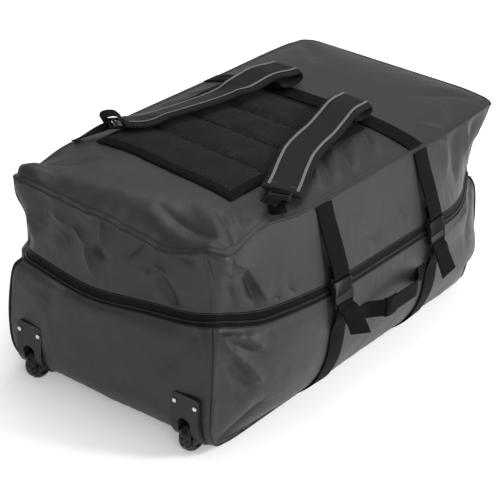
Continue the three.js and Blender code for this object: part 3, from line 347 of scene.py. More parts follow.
def moulded(name, dark, light, roughness, grain, metal=0.0, gloss=0.3):
    material, tree, shader = new_finish(name, roughness, Metallic=metal, Specular_IOR_Level=gloss)
    place = node(tree, "TexCoord")["Object"]
    speck = node(tree, "TexNoise", None, Vector=place, Scale=grain, Detail=4.0)["Fac"]
    cloud = node(tree, "TexNoise", None, Vector=place, Scale=grain * CLOUD_SIZE, Detail=2.0)["Fac"]
    tone = math_of(tree, "MULTIPLY", math_of(tree, "ADD", speck, cloud), 0.5)
    two_tone(tree, shader, tone, dark, light)
    shiny, dull = (roughness + change for change in SHINE_RANGE)
    rough = node(tree, "MapRange", None, Value=cloud, i3=shiny, i4=dull)[0]
    tree.links.new(rough, shader.inputs["Roughness"])
    relief(tree, shader, speck, 0.25, 0.3)
    return material


plastic = moulded("black_plastic", grey(0.003), grey(0.010), 0.36, 900.0, gloss=0.14)
housing_plastic = moulded("housing_plastic", grey(0.006), grey(0.014), 0.45, 700.0)
rubber = moulded("black_rubber", grey(0.002), grey(0.006), 0.32, 500.0)
metal = moulded("silver_metal", grey(0.45), grey(0.62), 0.3, 800.0, metal=1.0)
print("hard finishes:", plastic.name, housing_plastic.name, rubber.name, metal.name)

# %% [markdown]
# ## The stuffed body's outlines
# A full bag is widest a little below its middle and tightest at its seams. The body is a stack of rounded
# outlines: u runs round an outline, one step for each side, corner and end, and row runs up the stack.
# Any place on a wall is then a function of (u, row), so every panel, seam, strap and zip can be drawn
# on the very same surface. A sculpted body could look as full, but nothing sewn to it would fit.

# %% Outlines
SECTION_COLUMNS = ("z", "wheel", "head", "right", "left", "radius", "side_bow", "end_bow")
SECTIONS = np.array(
    [
        (3, 398, 430, 218, 222, 46, -8, 4),
        (10, 428, 452, 230, 238, 32, -5, 8),
        (26, 447, 462, 236, 247, 26, 6, 12),
        (62, 460, 468, 239, 253, 22, 38, 16),
        (118, 464, 468, 240, 256, 20, 60, 18),
        (178, 464, 466, 239, 255, 22, 67, 18),
        (230, 462, 463, 236, 252, 29, 71, 18),
        (258, 458, 459, 230, 243, 44, 72, 16),
        (285, 455, 456, 227, 237, 53, 68, 15),
        (336, 457, 460, 230, 238, 50, 49, 10),
        (386, 462, 470, 237, 243, 44, 26, 4),
        (419, 464, 476, 241, 244, 40, 10, 0),
    ],
    float,
)
BASE_ROW, EDGE_ROW, ZIP_LOW, ZIP_HIGH, SEAM_ROW = 0, 1.6, 7, 8, 11
SEAM = dict(zip(SECTION_COLUMNS, SECTIONS[SEAM_ROW]))
SIDE_FULLNESS, HEAD_FULLNESS, FULL_LOW, FULL_HIGH = 4, 9, 110, 200


def lerp(low, high, t):
    return low + (high - low) * t


def smoothstep(value, low, high):
    t = np.clip((value - low) / (high - low), 0, 1)
    return t * t * (3 - 2 * t)


def smooth_between(values, position):
    index = np.clip(np.floor(position).astype(int), 0, len(values) - 2)
    t = position - index
    start, end = values[index], values[index + 1]
    start_slope = (end - values[np.maximum(index - 1, 0)]) / 2
    end_slope = (values[np.minimum(index + 2, len(values) - 1)] - start) / 2
    from_start = start * (1 + 2 * t) * (1 - t) ** 2 + start_slope * t * (1 - t) ** 2
    return from_start + end * t * t * (3 - 2 * t) + end_slope * t * t * (t - 1)


def section_at(row):
    columns = enumerate(SECTION_COLUMNS)
    return {name: smooth_between(SECTIONS[:, k], row) for k, name in columns}


def outline_point(section, u):
    turn = np.mod(u, 8)
    leg = np.floor(turn).astype(int)
    t = turn - leg
    wheel, head, right, left, radius = (section[k] for k in SECTION_COLUMNS[1:6])
    head_share = np.where(leg == 0, t, 1 - t)
    head_power = lerp(HEAD_FULLNESS, SIDE_FULLNESS, smoothstep(section["z"], FULL_LOW, FULL_HIGH))
    power = np.where(head_share > 0.5, head_power, SIDE_FULLNESS)
    side = section["side_bow"] * (1 - np.abs(2 * t - 1) ** power)
    end = section["end_bow"] * (1 - (2 * t - 1) ** 2)
    angle = ((leg - 1) / 2 + t - 1) * np.pi / 2
    corner_x = np.where((leg == 1) | (leg == 3), head - radius, radius - wheel) + radius * np.cos(angle)
    corner_y = np.where((leg == 1) | (leg == 7), radius - right, left - radius) + radius * np.sin(angle)
    on = [leg == 0, leg == 2, leg == 4, leg == 6]
    along_x = lerp(radius - wheel, head - radius, t)
    back_x = lerp(head - radius, radius - wheel, t)
    along_y = lerp(radius - right, left - radius, t)
    back_y = lerp(left - radius, radius - right, t)
    x = np.select(on, [along_x, head + end, back_x, -wheel - end], corner_x)
    y = np.select(on, [-right - side, along_y, left + side, back_y], corner_y)
    return x, y


print("outlines:", len(SECTIONS), "with the top seam at", SEAM["z"], "mm")

# %% [markdown]
# ## Eased corners
# Where a side leaves its corner, the outline changes its curve all at once, and the shading would show a
# hard upright line that no cloth has. Each point near it is therefore the mean of six points beside it
# on the outline, taken over a window that shrinks to nothing further away.

# %% Eased corners
SIDE_STEP, CORNER_STEP = 840.0, 56.0
EASE_WINDOW, EASE_ON_SIDE, EASE_ON_CORNER = 34.0, 80.0, 27.0
EASE_SHARES = (-1.0, -0.6, -0.2, 0.2, 0.6, 1.0)


def eased_outline(section, u):
    """The outline, with the places where a side leaves its corner smoothed along the cloth."""
    turn = np.mod(u, 8)
    stop = np.round(turn)
    side_start = np.isin(stop, (0, 1, 4, 5, 8))
    on_side = (np.floor(turn) == 0) | (np.floor(turn) == 4)
    step = np.where(on_side, SIDE_STEP, CORNER_STEP)
    from_start = (turn - stop) * step
    reach = np.where(on_side, EASE_ON_SIDE, EASE_ON_CORNER)
    window = np.where(side_start, EASE_WINDOW * np.maximum(0, 1 - (from_start / reach) ** 2) ** 2, 0.0)
    side_after = np.isin(stop, (0, 4, 8))
    total_x, total_y = np.zeros(u.shape), np.zeros(u.shape)
    for share in EASE_SHARES:
        along = from_start + share * window
        in_side = np.where(side_after, along > 0, along < 0)
        eased = np.where(side_start, stop + along / np.where(in_side, SIDE_STEP, CORNER_STEP), turn)
        x, y = outline_point(section, eased)
        total_x, total_y = total_x + x / len(EASE_SHARES), total_y + y / len(EASE_SHARES)
    return total_x, total_y


corner = eased_outline(section_at(np.array([5.0])), np.array([7.5]))
print("near corner at mid height:", np.round(corner, 1).ravel())

# %% [markdown]
# ## Where the seams rise and sag
# The base is stiff and lifted between the wheels. The top seam dips at the wheel end, where the roll
# inside ends, and rises at the head end. The zip hangs in shallow waves, lowest where nothing inside
# holds it up. Each of these is a small sum of soft bumps, so it fades out without a visible edge.

# %% Rises and sags
WHEEL_END_LIFT, LIFT_START_X, LIFT_END_X, LIFT_HALF_WIDTH, LIFT_FADE_ROWS = 22, -200, -440, 215, 4
WHEEL_SEAM_DIP, DIP_FADE_ROWS, WHEEL_END_FADE = 14, 3, 70
HEAD_SEAM_RISE, RISE_START_X = 7, 150
ZIP_DIP_DEPTH, ZIP_DIP_X, ZIP_DIP_SPREAD, ZIP_REACH_ROWS = 17, 310, 120, 1.6
WHEEL_ZIP_DIP = {"depth": 17, "right": -220, "left": 200, "fade": 140}
# x and y of a sag, its depth, and how far it spreads along x and y
ZIP_SAGS = [(-470, 40, 13, 80, 95), (-360, -262, 6, 48, 60), (-446, -212, -8, 38, 38)]
CORNER_PINCH = {"x": -436, "y": -234, "depth": 7, "spread": 30}
RIPPLE = {"depth": 1.4, "wave": 15, "fine_wave": 6.4, "fade": 40}


def base_lift(x, y, row):
    """How far the base is lifted off the floor between the wheels, fading up the wall."""
    rise = smoothstep(-x, -LIFT_START_X, -LIFT_END_X)
    between = np.maximum(0, 1 - np.abs(y / LIFT_HALF_WIDTH) ** 4)
    return WHEEL_END_LIFT * rise * between * np.maximum(0, 1 - row / LIFT_FADE_ROWS)


def seam_wave(x, y, row):
    """How far the top seam and the zip run above or below their level lines."""
    above = np.maximum(0, 1 - (SEAM_ROW - row) / DIP_FADE_ROWS)
    rise = HEAD_SEAM_RISE * smoothstep(x, RISE_START_X, SEAM["head"])
    across = 1 - np.minimum(1, np.abs(y) / (SEAM["right"] - SEAM["radius"])) ** 4
    dip = WHEEL_SEAM_DIP * across * np.exp(-(x + SEAM["wheel"]) / WHEEL_END_FADE)
    pinch_at = np.hypot(x - CORNER_PINCH["x"], y - CORNER_PINCH["y"]) / CORNER_PINCH["spread"]
    pinch = CORNER_PINCH["depth"] * np.exp(-(pinch_at**2))
    near_zip = np.exp(-(((row - ZIP_LOW - 0.5) / ZIP_REACH_ROWS) ** 2))
    zip_dip = ZIP_DIP_DEPTH * near_zip * np.exp(-(((x - ZIP_DIP_X) / ZIP_DIP_SPREAD) ** 2))
    to_left = smoothstep(y, WHEEL_ZIP_DIP["right"], WHEEL_ZIP_DIP["left"])
    from_wheel = np.maximum(0, x + SEAM["wheel"]) / WHEEL_ZIP_DIP["fade"]
    zip_dip = zip_dip + WHEEL_ZIP_DIP["depth"] * near_zip * to_left * np.exp(-(from_wheel**2))
    for at_x, at_y, depth, spread_x, spread_y in ZIP_SAGS:
        reach = ((x - at_x) / spread_x) ** 2 + ((y - at_y) / spread_y) ** 2
        zip_dip = zip_dip + depth * near_zip * np.exp(-reach)
    ripple = RIPPLE["depth"] * np.sin(y / RIPPLE["wave"]) + np.sin(y / RIPPLE["fine_wave"] + 1)
    ripple = ripple * across * np.exp(-(x + SEAM["wheel"]) / RIPPLE["fade"])
    return above * (rise - np.minimum(dip, WHEEL_SEAM_DIP) - pinch + ripple) - zip_dip


print("sags of the zip:", len(ZIP_SAGS))

# %% [markdown]
# ## Settled cloth along the top seam
# Slack cloth does not stay where it was sewn. One corner of the wheel end stands out like an ear, the
# near one is pinched, and stretches of the seam beside them have sunk or been pulled up. Each row of
# the table moves the cloth round one spot, most at the spot itself.

# %% Settled cloth
SETTLED_COLUMNS = ("x", "y", "move_x", "move_y", "move_z", "spread_x", "spread_y")
SETTLED = [
    (-452, 238, -9, 6, -5, 40, 44),
    (-388, 244, 0, 0, -12, 50, 70),
    (-200, -252, 0, 3, 8, 150, 60),
    (50, -252, 0, 3, 8, 150, 60),
    (-338, -248, 0, 7, 14, 62, 52),
    (-456, -216, 0, 0, 9, 30, 26),
    (-464, -112, 0, 0, -15, 60, 80),
    (468, -230, 3, -3, -8, 46, 46),
]


def settle(x, y):
    """How far the cloth beside the top seam has moved where a corner is pulled out or has sunk."""
    moved = np.zeros((*np.shape(x), 3))
    for values in SETTLED:
        spot = dict(zip(SETTLED_COLUMNS, values))
        reach = ((x - spot["x"]) / spot["spread_x"]) ** 2 + ((y - spot["y"]) / spot["spread_y"]) ** 2
        moved += np.exp(-reach)[..., None] * np.array(values[2:5], float)
    return moved


print("settled spots:", len(SETTLED))

# %% [markdown]
# ## Any point on the wall
# All of this comes together in one function. The normal is found by stepping a little each way along the
# wall. It is needed wherever a fold, a strap or a cord has to stand off the cloth. The upper seam at the
# near corner is pulled askew, so the panels beside it follow a line that leans as it rises.

# %% Points on the wall
SETTLED_BETWEEN, NUDGE = (330, 395), 0.01
SEAM_LEAN = {"u": 7.5, "shift": -0.42, "spread": 0.6, "from_row": 8.6}


def wall_point(u, row):
    u, row = np.broadcast_arrays(np.asarray(u, float), np.asarray(row, float))
    section = section_at(row)
    x, y = eased_outline(section, u)
    z = section["z"] + seam_wave(x, y, row) + base_lift(x, y, row)
    return np.stack([x, y, z], -1) + settle(x, y) * smoothstep(z, *SETTLED_BETWEEN)[..., None]


def unit(vectors):
    return vectors / np.maximum(np.linalg.norm(vectors, axis=-1, keepdims=True), 1e-9)


def wall_normal(u, row):
    u, row = np.broadcast_arrays(np.asarray(u, float), np.asarray(row, float))
    along = wall_point(u + NUDGE, row) - wall_point(u - NUDGE, row)
    above, below = np.minimum(row + NUDGE, SEAM_ROW), np.maximum(row - NUDGE, 0)
    up = wall_point(u, above) - wall_point(u, below)
    return unit(np.cross(along, up))


def seam_lean(u, row):
    """The near corner's upper seam leans towards the wheel end as it rises."""
    off = np.mod(u - SEAM_LEAN["u"] + 4, 8) - 4
    rise = smoothstep(row, SEAM_LEAN["from_row"], SEAM_ROW)
    return SEAM_LEAN["shift"] * rise * np.exp(-((off / SEAM_LEAN["spread"]) ** 2))


print("belly at mid height:", wall_point(0.5, 5.0).round(1))

# %% [markdown]
# ## The stuffed top's surface
# The top panel lies over the roll inside as a low dome: flat in the middle, with soft shoulders towards
# its seam. A cloth simulation would settle on such a dome too, but the pad and the straps on it have to
# know its height at any place, and a function tells them.

# %% Top surface
CROWN, CROWN_SHOULDER, CROWN_FULLNESS = 29, 200, 2.6
TOP_SEAM_LIFT, SLOPE_STEP = 2.6, 2


def seam_reach(x, side):
    """The long seam's distance from the middle line, with its bow and without its corners."""
    t = (x + SEAM["wheel"] - SEAM["radius"]) / (SEAM["wheel"] + SEAM["head"] - 2 * SEAM["radius"])
    bow = SEAM["side_bow"] * (1 - np.abs(2 * np.clip(t, 0, 1) - 1) ** SIDE_FULLNESS)
    return np.where(side < 0, SEAM["right"], SEAM["left"]) + bow


def seam_edge(x, side):
    """The seam's distance from the middle line, round the corners too."""
    past_wheel, past_head = SEAM["radius"] - SEAM["wheel"] - x, x - SEAM["head"] + SEAM["radius"]
    beyond = np.maximum(np.maximum(past_wheel, past_head), 0)
    turned = SEAM["radius"] - np.sqrt(np.maximum(SEAM["radius"] ** 2 - beyond**2, 0))
    return seam_reach(x, side) - turned


def edge_distance(x, y):
    """How far a place on the top lies inside the seam."""
    centre = (SEAM["head"] - SEAM["wheel"]) / 2
    half = (SEAM["head"] + SEAM["wheel"]) / 2
    edge_x = np.abs(x - centre) - (half - SEAM["radius"])
    edge_y = np.abs(y) - (seam_reach(x, np.sign(y)) - SEAM["radius"])
    outside = np.hypot(np.maximum(edge_x, 0), np.maximum(edge_y, 0))
    return np.maximum(0, SEAM["radius"] - outside - np.minimum(np.maximum(edge_x, edge_y), 0))


def top_height(x, y):
    shoulder = np.minimum(1, edge_distance(x, y) / CROWN_SHOULDER)
    crown = CROWN * (1 - (1 - shoulder) ** CROWN_FULLNESS)
    return SEAM["z"] + seam_wave(x, y, SEAM_ROW) + crown + TOP_SEAM_LIFT


def top_normal(x, y):
    step = SLOPE_STEP
    slope_x = (top_height(x + step, y) - top_height(x - step, y)) / (2 * step)
    slope_y = (top_height(x, y + step) - top_height(x, y - step)) / (2 * step)
    return unit(np.stack([-slope_x, -slope_y, np.ones_like(slope_x)], -1))


def top_point(x, y, offset=0.0):
    x, y, offset = np.broadcast_arrays(*(np.asarray(v, float) for v in (x, y, offset)))
    return np.stack([x, y, top_height(x, y)], -1) + settle(x, y) + top_normal(x, y) * offset[..., None]


print("crown height:", top_height(0.0, 0.0).round(1))

# %% [markdown]
# ## Folds
# Stuffed cloth creases where it is gathered into a corner or pulled by a strap. A cloth simulation makes
# good folds, but not at chosen places, so here they are drawn. Each row of the table is one crease: a
# line on a wall or on the top, how far it stands out (or in, below zero), and how far it spreads on its
# lower and its upper side. The last column is 1 for a soft crease and 0 for a sharp one.

# %% Fold table
FOLD_COLUMNS = ("on", "along", "across", "to_along", "to_across", "depth", "low", "high", "soft")
FOLDS = [
    ("upper_right", -456, 411, -436, 406, 3, 8, 22, 0),
    ("upper_right", -430, 402, -389, 374, 6, 8, 20, 0),
    ("upper_right", -386, 362, -364, 296, -9, 14, 16, 0),
    ("upper_right", -384, 368, -344, 298, 7, 6, 24, 0),
    ("upper_right", -446, 398, -408, 350, 4, 10, 10, 0),
    ("upper_right", -432, 373, -410, 355, -3, 5, 6, 0),
    ("upper_right", -418, 342, -402, 298, -4, 6, 8, 0),
    ("upper_right", -331, 306, -318, 290, -3, 6, 10, 0),
    ("upper_right", -296, 312, -283, 290, -3, 8, 10, 0),
    ("upper_right", -60, 330, -20, 306, -3, 10, 14, 0),
    ("upper_right", 60, 340, 82, 308, 3, 8, 14, 0),
    ("upper_right", 250, 418, 246, 352, 4, 12, 16, 1),
    ("upper_right", 300, 412, 292, 330, -6, 16, 18, 1),
    ("upper_right", 341, 418, 336, 350, 5, 10, 14, 0),
    ("upper_right", 395, 410, 372, 322, -7, 18, 16, 1),
    ("upper_right", 432, 414, 420, 344, 4, 10, 14, 0),
    ("upper_wheel", -103, 339, -145, 292, -7, 6, 14, 0),
    ("upper_wheel", -74, 323, -104, 355, 5, 8, 8, 0),
    ("upper_wheel", -104, 355, -128, 346, 4, 7, 9, 0),
    ("upper_wheel", 49, 341, 19, 327, -6, 7, 12, 0),
    ("upper_wheel", 60, 331, 43, 292, 5, 9, 9, 0),
    ("upper_wheel", 25, 389, 19, 346, 5, 6, 8, 0),
    ("upper_wheel", 142, 374, 54, 341, 4, 10, 14, 0),
    ("upper_wheel", -72, 392, -40, 352, -5, 10, 14, 0),
    ("upper_wheel", -150, 396, -190, 384, -6, 8, 10, 0),
    ("upper_wheel", 70, 386, 116, 330, -6, 16, 18, 1),
    ("upper_wheel", 206, 352, 196, 302, 5, 9, 12, 0),
    ("upper_wheel", 160, 400, 176, 340, -5, 16, 18, 1),
    ("upper_left", -430, 402, -360, 350, 6, 8, 26, 0),
    ("upper_left", -415, 372, -355, 318, -10, 22, 20, 1),
    ("upper_left", 300, 412, 330, 330, -6, 18, 18, 1),
    ("upper_left", 380, 412, 362, 340, 5, 12, 14, 0),
    ("upper_head", -150, 410, -176, 330, -6, 16, 18, 1),
    ("upper_head", -60, 400, -92, 318, 4, 10, 16, 0),
    ("upper_head", 90, 405, 128, 322, -6, 16, 18, 1),
    ("upper_head", 180, 400, 196, 330, 4, 10, 14, 0),
    ("lower_right", -441, 252, -397, 236, 6, 7, 14, 0),
    ("lower_right", -397, 236, -367, 215, 6, 6, 16, 0),
    ("lower_right", -432, 240, -364, 204, -5, 10, 8, 0),
    ("lower_right", -439, 244, -421, 217, 6, 8, 8, 0),
    ("lower_right", -421, 217, -391, 180, 7, 8, 9, 0),
    ("lower_right", -391, 180, -367, 146, 5, 9, 10, 0),
    ("lower_right", -426, 200, -390, 142, -7, 16, 12, 1),
    ("lower_right", -424, 26, -352, 92, -8, 18, 9, 0),
    ("lower_right", -404, 120, -380, 96, 3, 12, 14, 1),
    ("lower_right", 420, 241, 330, 190, -5, 16, 18, 1),
    ("lower_right", 438, 60, 350, 96, -6, 16, 18, 1),
    ("lower_wheel", -180, 239, -140, 170, -3, 16, 20, 1),
    ("lower_wheel", 120, 244, 150, 190, -4, 18, 20, 1),
    ("lower_wheel", 30, 60, -40, 110, -3, 18, 20, 1),
    ("lower_left", -438, 245, -358, 206, 6, 9, 22, 0),
    ("lower_left", -428, 219, -345, 178, -9, 18, 16, 1),
    ("lower_left", -436, 38, -330, 76, -7, 14, 16, 0),
    ("lower_left", 430, 239, 340, 186, -6, 16, 18, 1),
    ("lower_head", -170, 244, -130, 180, -5, 16, 20, 1),
    ("lower_head", 150, 239, 100, 180, 4, 12, 18, 0),
    ("top", -424, -226, -351, -93, 2, 24, 16, 1),
    ("top", -434, -217, -403, -56, -2, 7, 8, 1),
    ("top", -452, -195, -421, -48, 2.5, 12, 14, 1),
    ("top", -408, -226, -366, -156, -3, 7, 8, 0),
    ("top", -378, -221, -344, -170, 2, 10, 10, 1),
    ("top", -424, -234, -336, -204, -2, 9, 12, 1),
    ("top", -429, -233, -412, -208, 2, 5, 6, 0),
    ("top", -446, 224, -414, 216, 9, 36, 36, 1),
    ("top", -424, 190, -398, -60, 5, 30, 30, 1),
    ("top", -412, 214, -356, 150, -5, 14, 16, 1),
    ("top", -91, -164, -141, -228, 4, 9, 9, 0),
    ("top", -52, -160, -112, -228, -4, 10, 10, 1),
    ("top", -11, -155, -82, -228, 4, 9, 9, 0),
    ("top", 20, -155, -50, -228, -4, 10, 10, 1),
    ("top", 55, -157, -17, -226, 4, 9, 9, 0),
    ("top", 100, -155, 36, -224, -3, 10, 10, 1),
    ("top", 112, -160, 70, -222, 3, 8, 8, 0),
    ("top", 372, -194, 200, -200, 4, 26, 44, 1),
    ("top", 330, -200, 298, -236, 3, 8, 10, 0),
    ("top", 226, -206, 268, -240, -3, 10, 10, 0),
    ("top", -60, 160, -120, 226, 4, 9, 9, 0),
    ("top", 30, 158, -44, 226, 4, 9, 9, 0),
    ("top", 110, 156, 40, 224, 3, 9, 9, 0),
    ("top", 430, -200, 330, -140, -5, 18, 20, 1),
    ("top", 436, 206, 340, 120, -5, 18, 20, 1),
]
print("creases:", len(FOLDS))

# %% [markdown]
# ## From creases to a depth
# The depth at a point is the sum of all creases of its panel. A sharp crease falls off with the distance
# from its line, a soft one with the square of that distance, and both grow shallow towards their ends.

# %% Fold depth
FOLD_GAIN, FOLD_SHARP, FOLD_END_FADE = 1.6, 0.8, 0.55


def fold_depth(where, along, across):
    """How far the cloth stands out at each point by the creases of one panel."""
    depth = np.zeros_like(along)
    for values in FOLDS:
        fold = dict(zip(FOLD_COLUMNS, values))
        if fold["on"] != where:
            continue
        run = np.array((fold["to_along"] - fold["along"], fold["to_across"] - fold["across"]), float)
        off_along, off_across = along - fold["along"], across - fold["across"]
        t = np.clip((off_along * run[0] + off_across * run[1]) / (run @ run), 0, 1)
        miss = np.hypot(off_along - t * run[0], off_across - t * run[1])
        side = off_across - t * run[1]
        reach = miss / np.where(side < 0, fold["low"], fold["high"]) / (1 if fold["soft"] else FOLD_SHARP)
        ends = 1 - FOLD_END_FADE * np.abs(2 * t - 1) ** 3
        profile = np.exp(-(reach**2)) if fold["soft"] else np.exp(-reach)
        depth += FOLD_GAIN * fold["depth"] * ends * profile
    return depth


corner_fold = fold_depth("upper_right", np.array([-375.0]), np.array([329.0]))
print("fold beside the near corner:", corner_fold.round(1), "mm")

# %% [markdown]
# ## Crumple and puckers
# Between the big folds, cloth is never quite smooth. Soft noise gives it broad dents, and the lines where
# noise passes through zero give sharp fine creases. Thread pulled tight along a seam gathers the cloth
# beside it into puckers, which fade within a finger's width.

# %% Crumple and puckers
FINE_SHARE, BROAD_RIDGE, FINE_RIDGE, RIDGE_LEVEL = 0.45, 3.2, 1.5, 0.25
WANDER_SIZE, PUCKER_FADE = 90.0, 11.0


def crumple(points, size, seed):
    """Soft random dents, the same at every run."""
    return np.array([noise.noise(Vector(p / size) + Vector((seed, seed, seed))) for p in points])


def ridges(points, size, seed):
    """Sharp random creases: the places where two levels of noise pass through zero."""
    broad, fine = crumple(points, size, seed), crumple(points, size * FINE_SHARE, seed + 2.0)
    return BROAD_RIDGE * (RIDGE_LEVEL - np.abs(broad)) + FINE_RIDGE * (RIDGE_LEVEL - np.abs(fine))


def sewn_puckers(points, distance, pitch, depth):
    """Small waves along a seam, uneven in size, that fade away from it."""
    wander = crumple(points, WANDER_SIZE, 7.0)
    wave = np.sin((points[:, 0] + points[:, 1]) * 2 * np.pi / pitch + 5 * wander)
    return depth * wave * (0.5 + wander) * np.exp(-distance / PUCKER_FADE)


print("puckers fade over", PUCKER_FADE, "mm")

# %% [markdown]
# ## Wall panels
# Eight cloth panels make the walls, four above the zip and four below, sewn together at the corners. Each
# is a fine grid on the wall's surface. Its points are spread in equal steps along the cloth, because
# equal steps in u would crowd them at the corners and leave the long sides coarse.

# %% Steps along the cloth
PANEL_SPAN = {"right": (-0.5, 1.5), "head": (1.5, 3.5), "left": (3.5, 5.5), "wheel": (5.5, 7.5)}
MEASURED_ROW = 6.0


def stops_round(low, high, count):
    """Perimeter stops of a panel, in equal steps along the cloth."""
    fine = np.linspace(low, high, 2000)
    run = np.linalg.norm(np.diff(wall_point(fine, MEASURED_ROW), axis=0), axis=1)
    length = np.concatenate([[0], np.cumsum(run)])
    return np.interp(np.linspace(0, length[-1], count), length, fine)


def rows_up(low, high, count):
    """Rows of a panel, in equal steps up the cloth."""
    fine = np.linspace(low, high, 400)
    run = np.linalg.norm(np.diff(wall_point(0.5, fine), axis=0), axis=1)
    height = np.concatenate([[0], np.cumsum(run)])
    return np.interp(np.linspace(0, height[-1], count), height, fine)


print("steps round the bag:", stops_round(0.0, 8.0, 5).round(2))

# %% [markdown]
# ## Folds on the walls
# Each point is pushed along its normal by the folds, the crumple and the puckers. The push dies away at
# every sewn edge, because the neighbouring panel is sewn to it there and the two must still meet.

# %% Folded walls
STEP_AT_CORNER = 40.0
EDGE_HOLD, SIDE_HOLD, PUCKER_HOLD = (2, 15), (0, 7), (0, 3)
WALL_CRUMPLE, WALL_CRUMPLE_SIZE, RIDGE_SIZE = 1.3, 95.0, 62.0
PLAIN_RIDGES, CORNER_RIDGES_FADE = 0.35, 14.0
WALL_PUCKER_PITCH, WALL_PUCKER_DEPTH = 27.0, 1.3


def folded_wall(u, row, wall, level):
    leaned = u + seam_lean(u, row) if level == "upper" else u
    points, normals = wall_point(leaned, row), wall_normal(leaned, row)
    along = points[:, 1] if wall in ("wheel", "head") else points[:, 0]
    span = PANEL_SPAN[wall]
    from_side = np.minimum(u - span[0], span[1] - u) * STEP_AT_CORNER
    low, high = (ZIP_HIGH, SEAM_ROW) if level == "upper" else (BASE_ROW, ZIP_LOW)
    heights = SECTIONS[:, 0]
    from_ends = np.interp([low, high], np.arange(len(heights)), heights)
    z = np.interp(row, np.arange(len(heights)), heights)
    from_edge = np.minimum(z - from_ends[0], from_ends[1] - z)
    held = smoothstep(from_edge, *EDGE_HOLD) * smoothstep(from_side, *SIDE_HOLD)
    depth = fold_depth(f"{level}_{wall}", along, points[:, 2])
    near_corner = PLAIN_RIDGES + np.exp(-from_side / CORNER_RIDGES_FADE)
    dents = WALL_CRUMPLE * crumple(points, WALL_CRUMPLE_SIZE, 3.0)
    depth += dents + near_corner * ridges(points, RIDGE_SIZE, 11.0)
    puckers = sewn_puckers(points, from_edge, WALL_PUCKER_PITCH, WALL_PUCKER_DEPTH)
    depth += puckers * smoothstep(from_edge, *PUCKER_HOLD)
    return points + normals * (depth * held)[:, None]


belly = folded_wall(np.array([0.5]), np.array([5.0]), "right", "lower")
print("belly with its crumple:", belly.round(1))

# %% [markdown]
# ## Making the wall panels
# The panels stop just short of each other at the corners, where a seam will cover the slit. The side that
# is looked at most gets the finest grid.

# %% Wall panels
SEAM_GAP, ROW_GAP = 0.008, 0.012


def wall_panel(wall, level, columns, rows):
    low, high = PANEL_SPAN[wall]
    stops = stops_round(low + SEAM_GAP, high - SEAM_GAP, columns + 1)
    ends = (ZIP_HIGH + ROW_GAP, SEAM_ROW) if level == "upper" else (BASE_ROW, ZIP_LOW - ROW_GAP)
    levels = rows_up(*ends, rows + 1)

    def place(s, t):
        u = stops[np.rint(s * columns).astype(int)]
        row = levels[np.rint(t * rows).astype(int)]
        return folded_wall(u, row, wall, level)

    return cloth_grid(f"{level}_{wall}_cloth", columns, rows, place)


PANEL_COLUMNS = {"right": 270, "left": 160, "wheel": 170, "head": 100}
PANEL_ROWS = {"upper": 50, "lower": 70}
panels = {}
for wall, columns in PANEL_COLUMNS.items():
    for level, rows in PANEL_ROWS.items():
        panels[level, wall] = wall_panel(wall, level, columns, rows)
print("wall panels:", len(panels))

# %% [markdown]
# ## Cutting out the wheel corners
# The lower wheel-end and side panels are cut out where the wheel housings sit. Faces could be deleted by
# hand, but the edge would follow the grid's steps. A boolean with a block of the housing's outline cuts
# cleanly, as scissors would, and leaves a small gap all round.

# %% Cutters for the housings
GAP = 0.35
HOUSING_WIDTH, HOUSING_TOP, HOUSING_FRONT, HOUSING_INNER, HOUSING_CORNER = 60, 128, -475, -376, 9
WHEEL_X, WHEEL_Y, WHEEL_RADIUS, WHEEL_WIDTH = -443, 187, 34, 26
SIDE_OF = {"right": -1, "left": 1}


def block(name, low, high):
    """A block between two corners, in millimetres on the bag's own axes."""
    nothing_selected()
    low, high = placed(low), placed(high)
    bpy.ops.mesh.primitive_cube_add(size=1, location=tuple((low + high) / 2), scale=tuple(high - low))
    made = bpy.context.object
    made.name = made.data.name = name
    bpy.ops.object.transform_apply(location=True, rotation=True, scale=True)
    return made


def round_top(piece, radius):
    """Rounds the two upper edges of a block that run along X."""
    only(piece)
    top = max(point.co.z for point in piece.data.vertices)
    for line in piece.data.edges:
        a, b = (piece.data.vertices[k].co for k in line.vertices)
        line.select = min(a.z, b.z) > top - 1e-4 and abs(a.x - b.x) > 1e-3
    for part in (*piece.data.polygons, *piece.data.vertices):
        part.select = False
    bpy.ops.object.mode_set(mode="EDIT")
    bpy.ops.mesh.select_mode(type="EDGE")
    bpy.ops.mesh.bevel(offset=radius * MM, segments=6, affect="EDGES")
    bpy.ops.object.mode_set(mode="OBJECT")


cutters = []
for side_name, side in SIDE_OF.items():
    y = side * WHEEL_Y
    half = HOUSING_WIDTH / 2 + GAP
    low = (HOUSING_FRONT - 60, y - half, -20)
    high = (HOUSING_INNER + GAP, y + half, HOUSING_TOP + GAP)
    cutter = block(f"cutter_{side_name}", low, high)
    round_top(cutter, HOUSING_CORNER + GAP)
    cutters.append(cutter)
print("cutters:", [cutter.name for cutter in cutters])

# %% [markdown]
# ## Thickness and finish of the walls
# Solidify thickens each panel inwards, so that its outer face stays where it was drawn. It comes before
# the cut, because then the cut goes through both faces and leaves a proper edge.

# %% Walls cut and finished
CLOTH_THICKNESS = 2.2


def cut_out(piece):
    for cutter in cutters:
        apply_modifier(piece, "BOOLEAN", operation="DIFFERENCE", object=cutter, solver="EXACT")


for (level, wall), panel in panels.items():
    thicken(panel, CLOTH_THICKNESS)
    if level == "lower" and wall != "head":
        cut_out(panel)
    smooth(panel, 60)
    finished(panel, cloth, "cloth", f"{level}_panel_{wall}")

# %% [markdown]
# ## Top panel
# The top is one big panel, sewn in all round. Its outline has round corners, so each column of its grid
# runs from seam to seam at one x, and the points lie closer near the edges, where the cloth bends most.

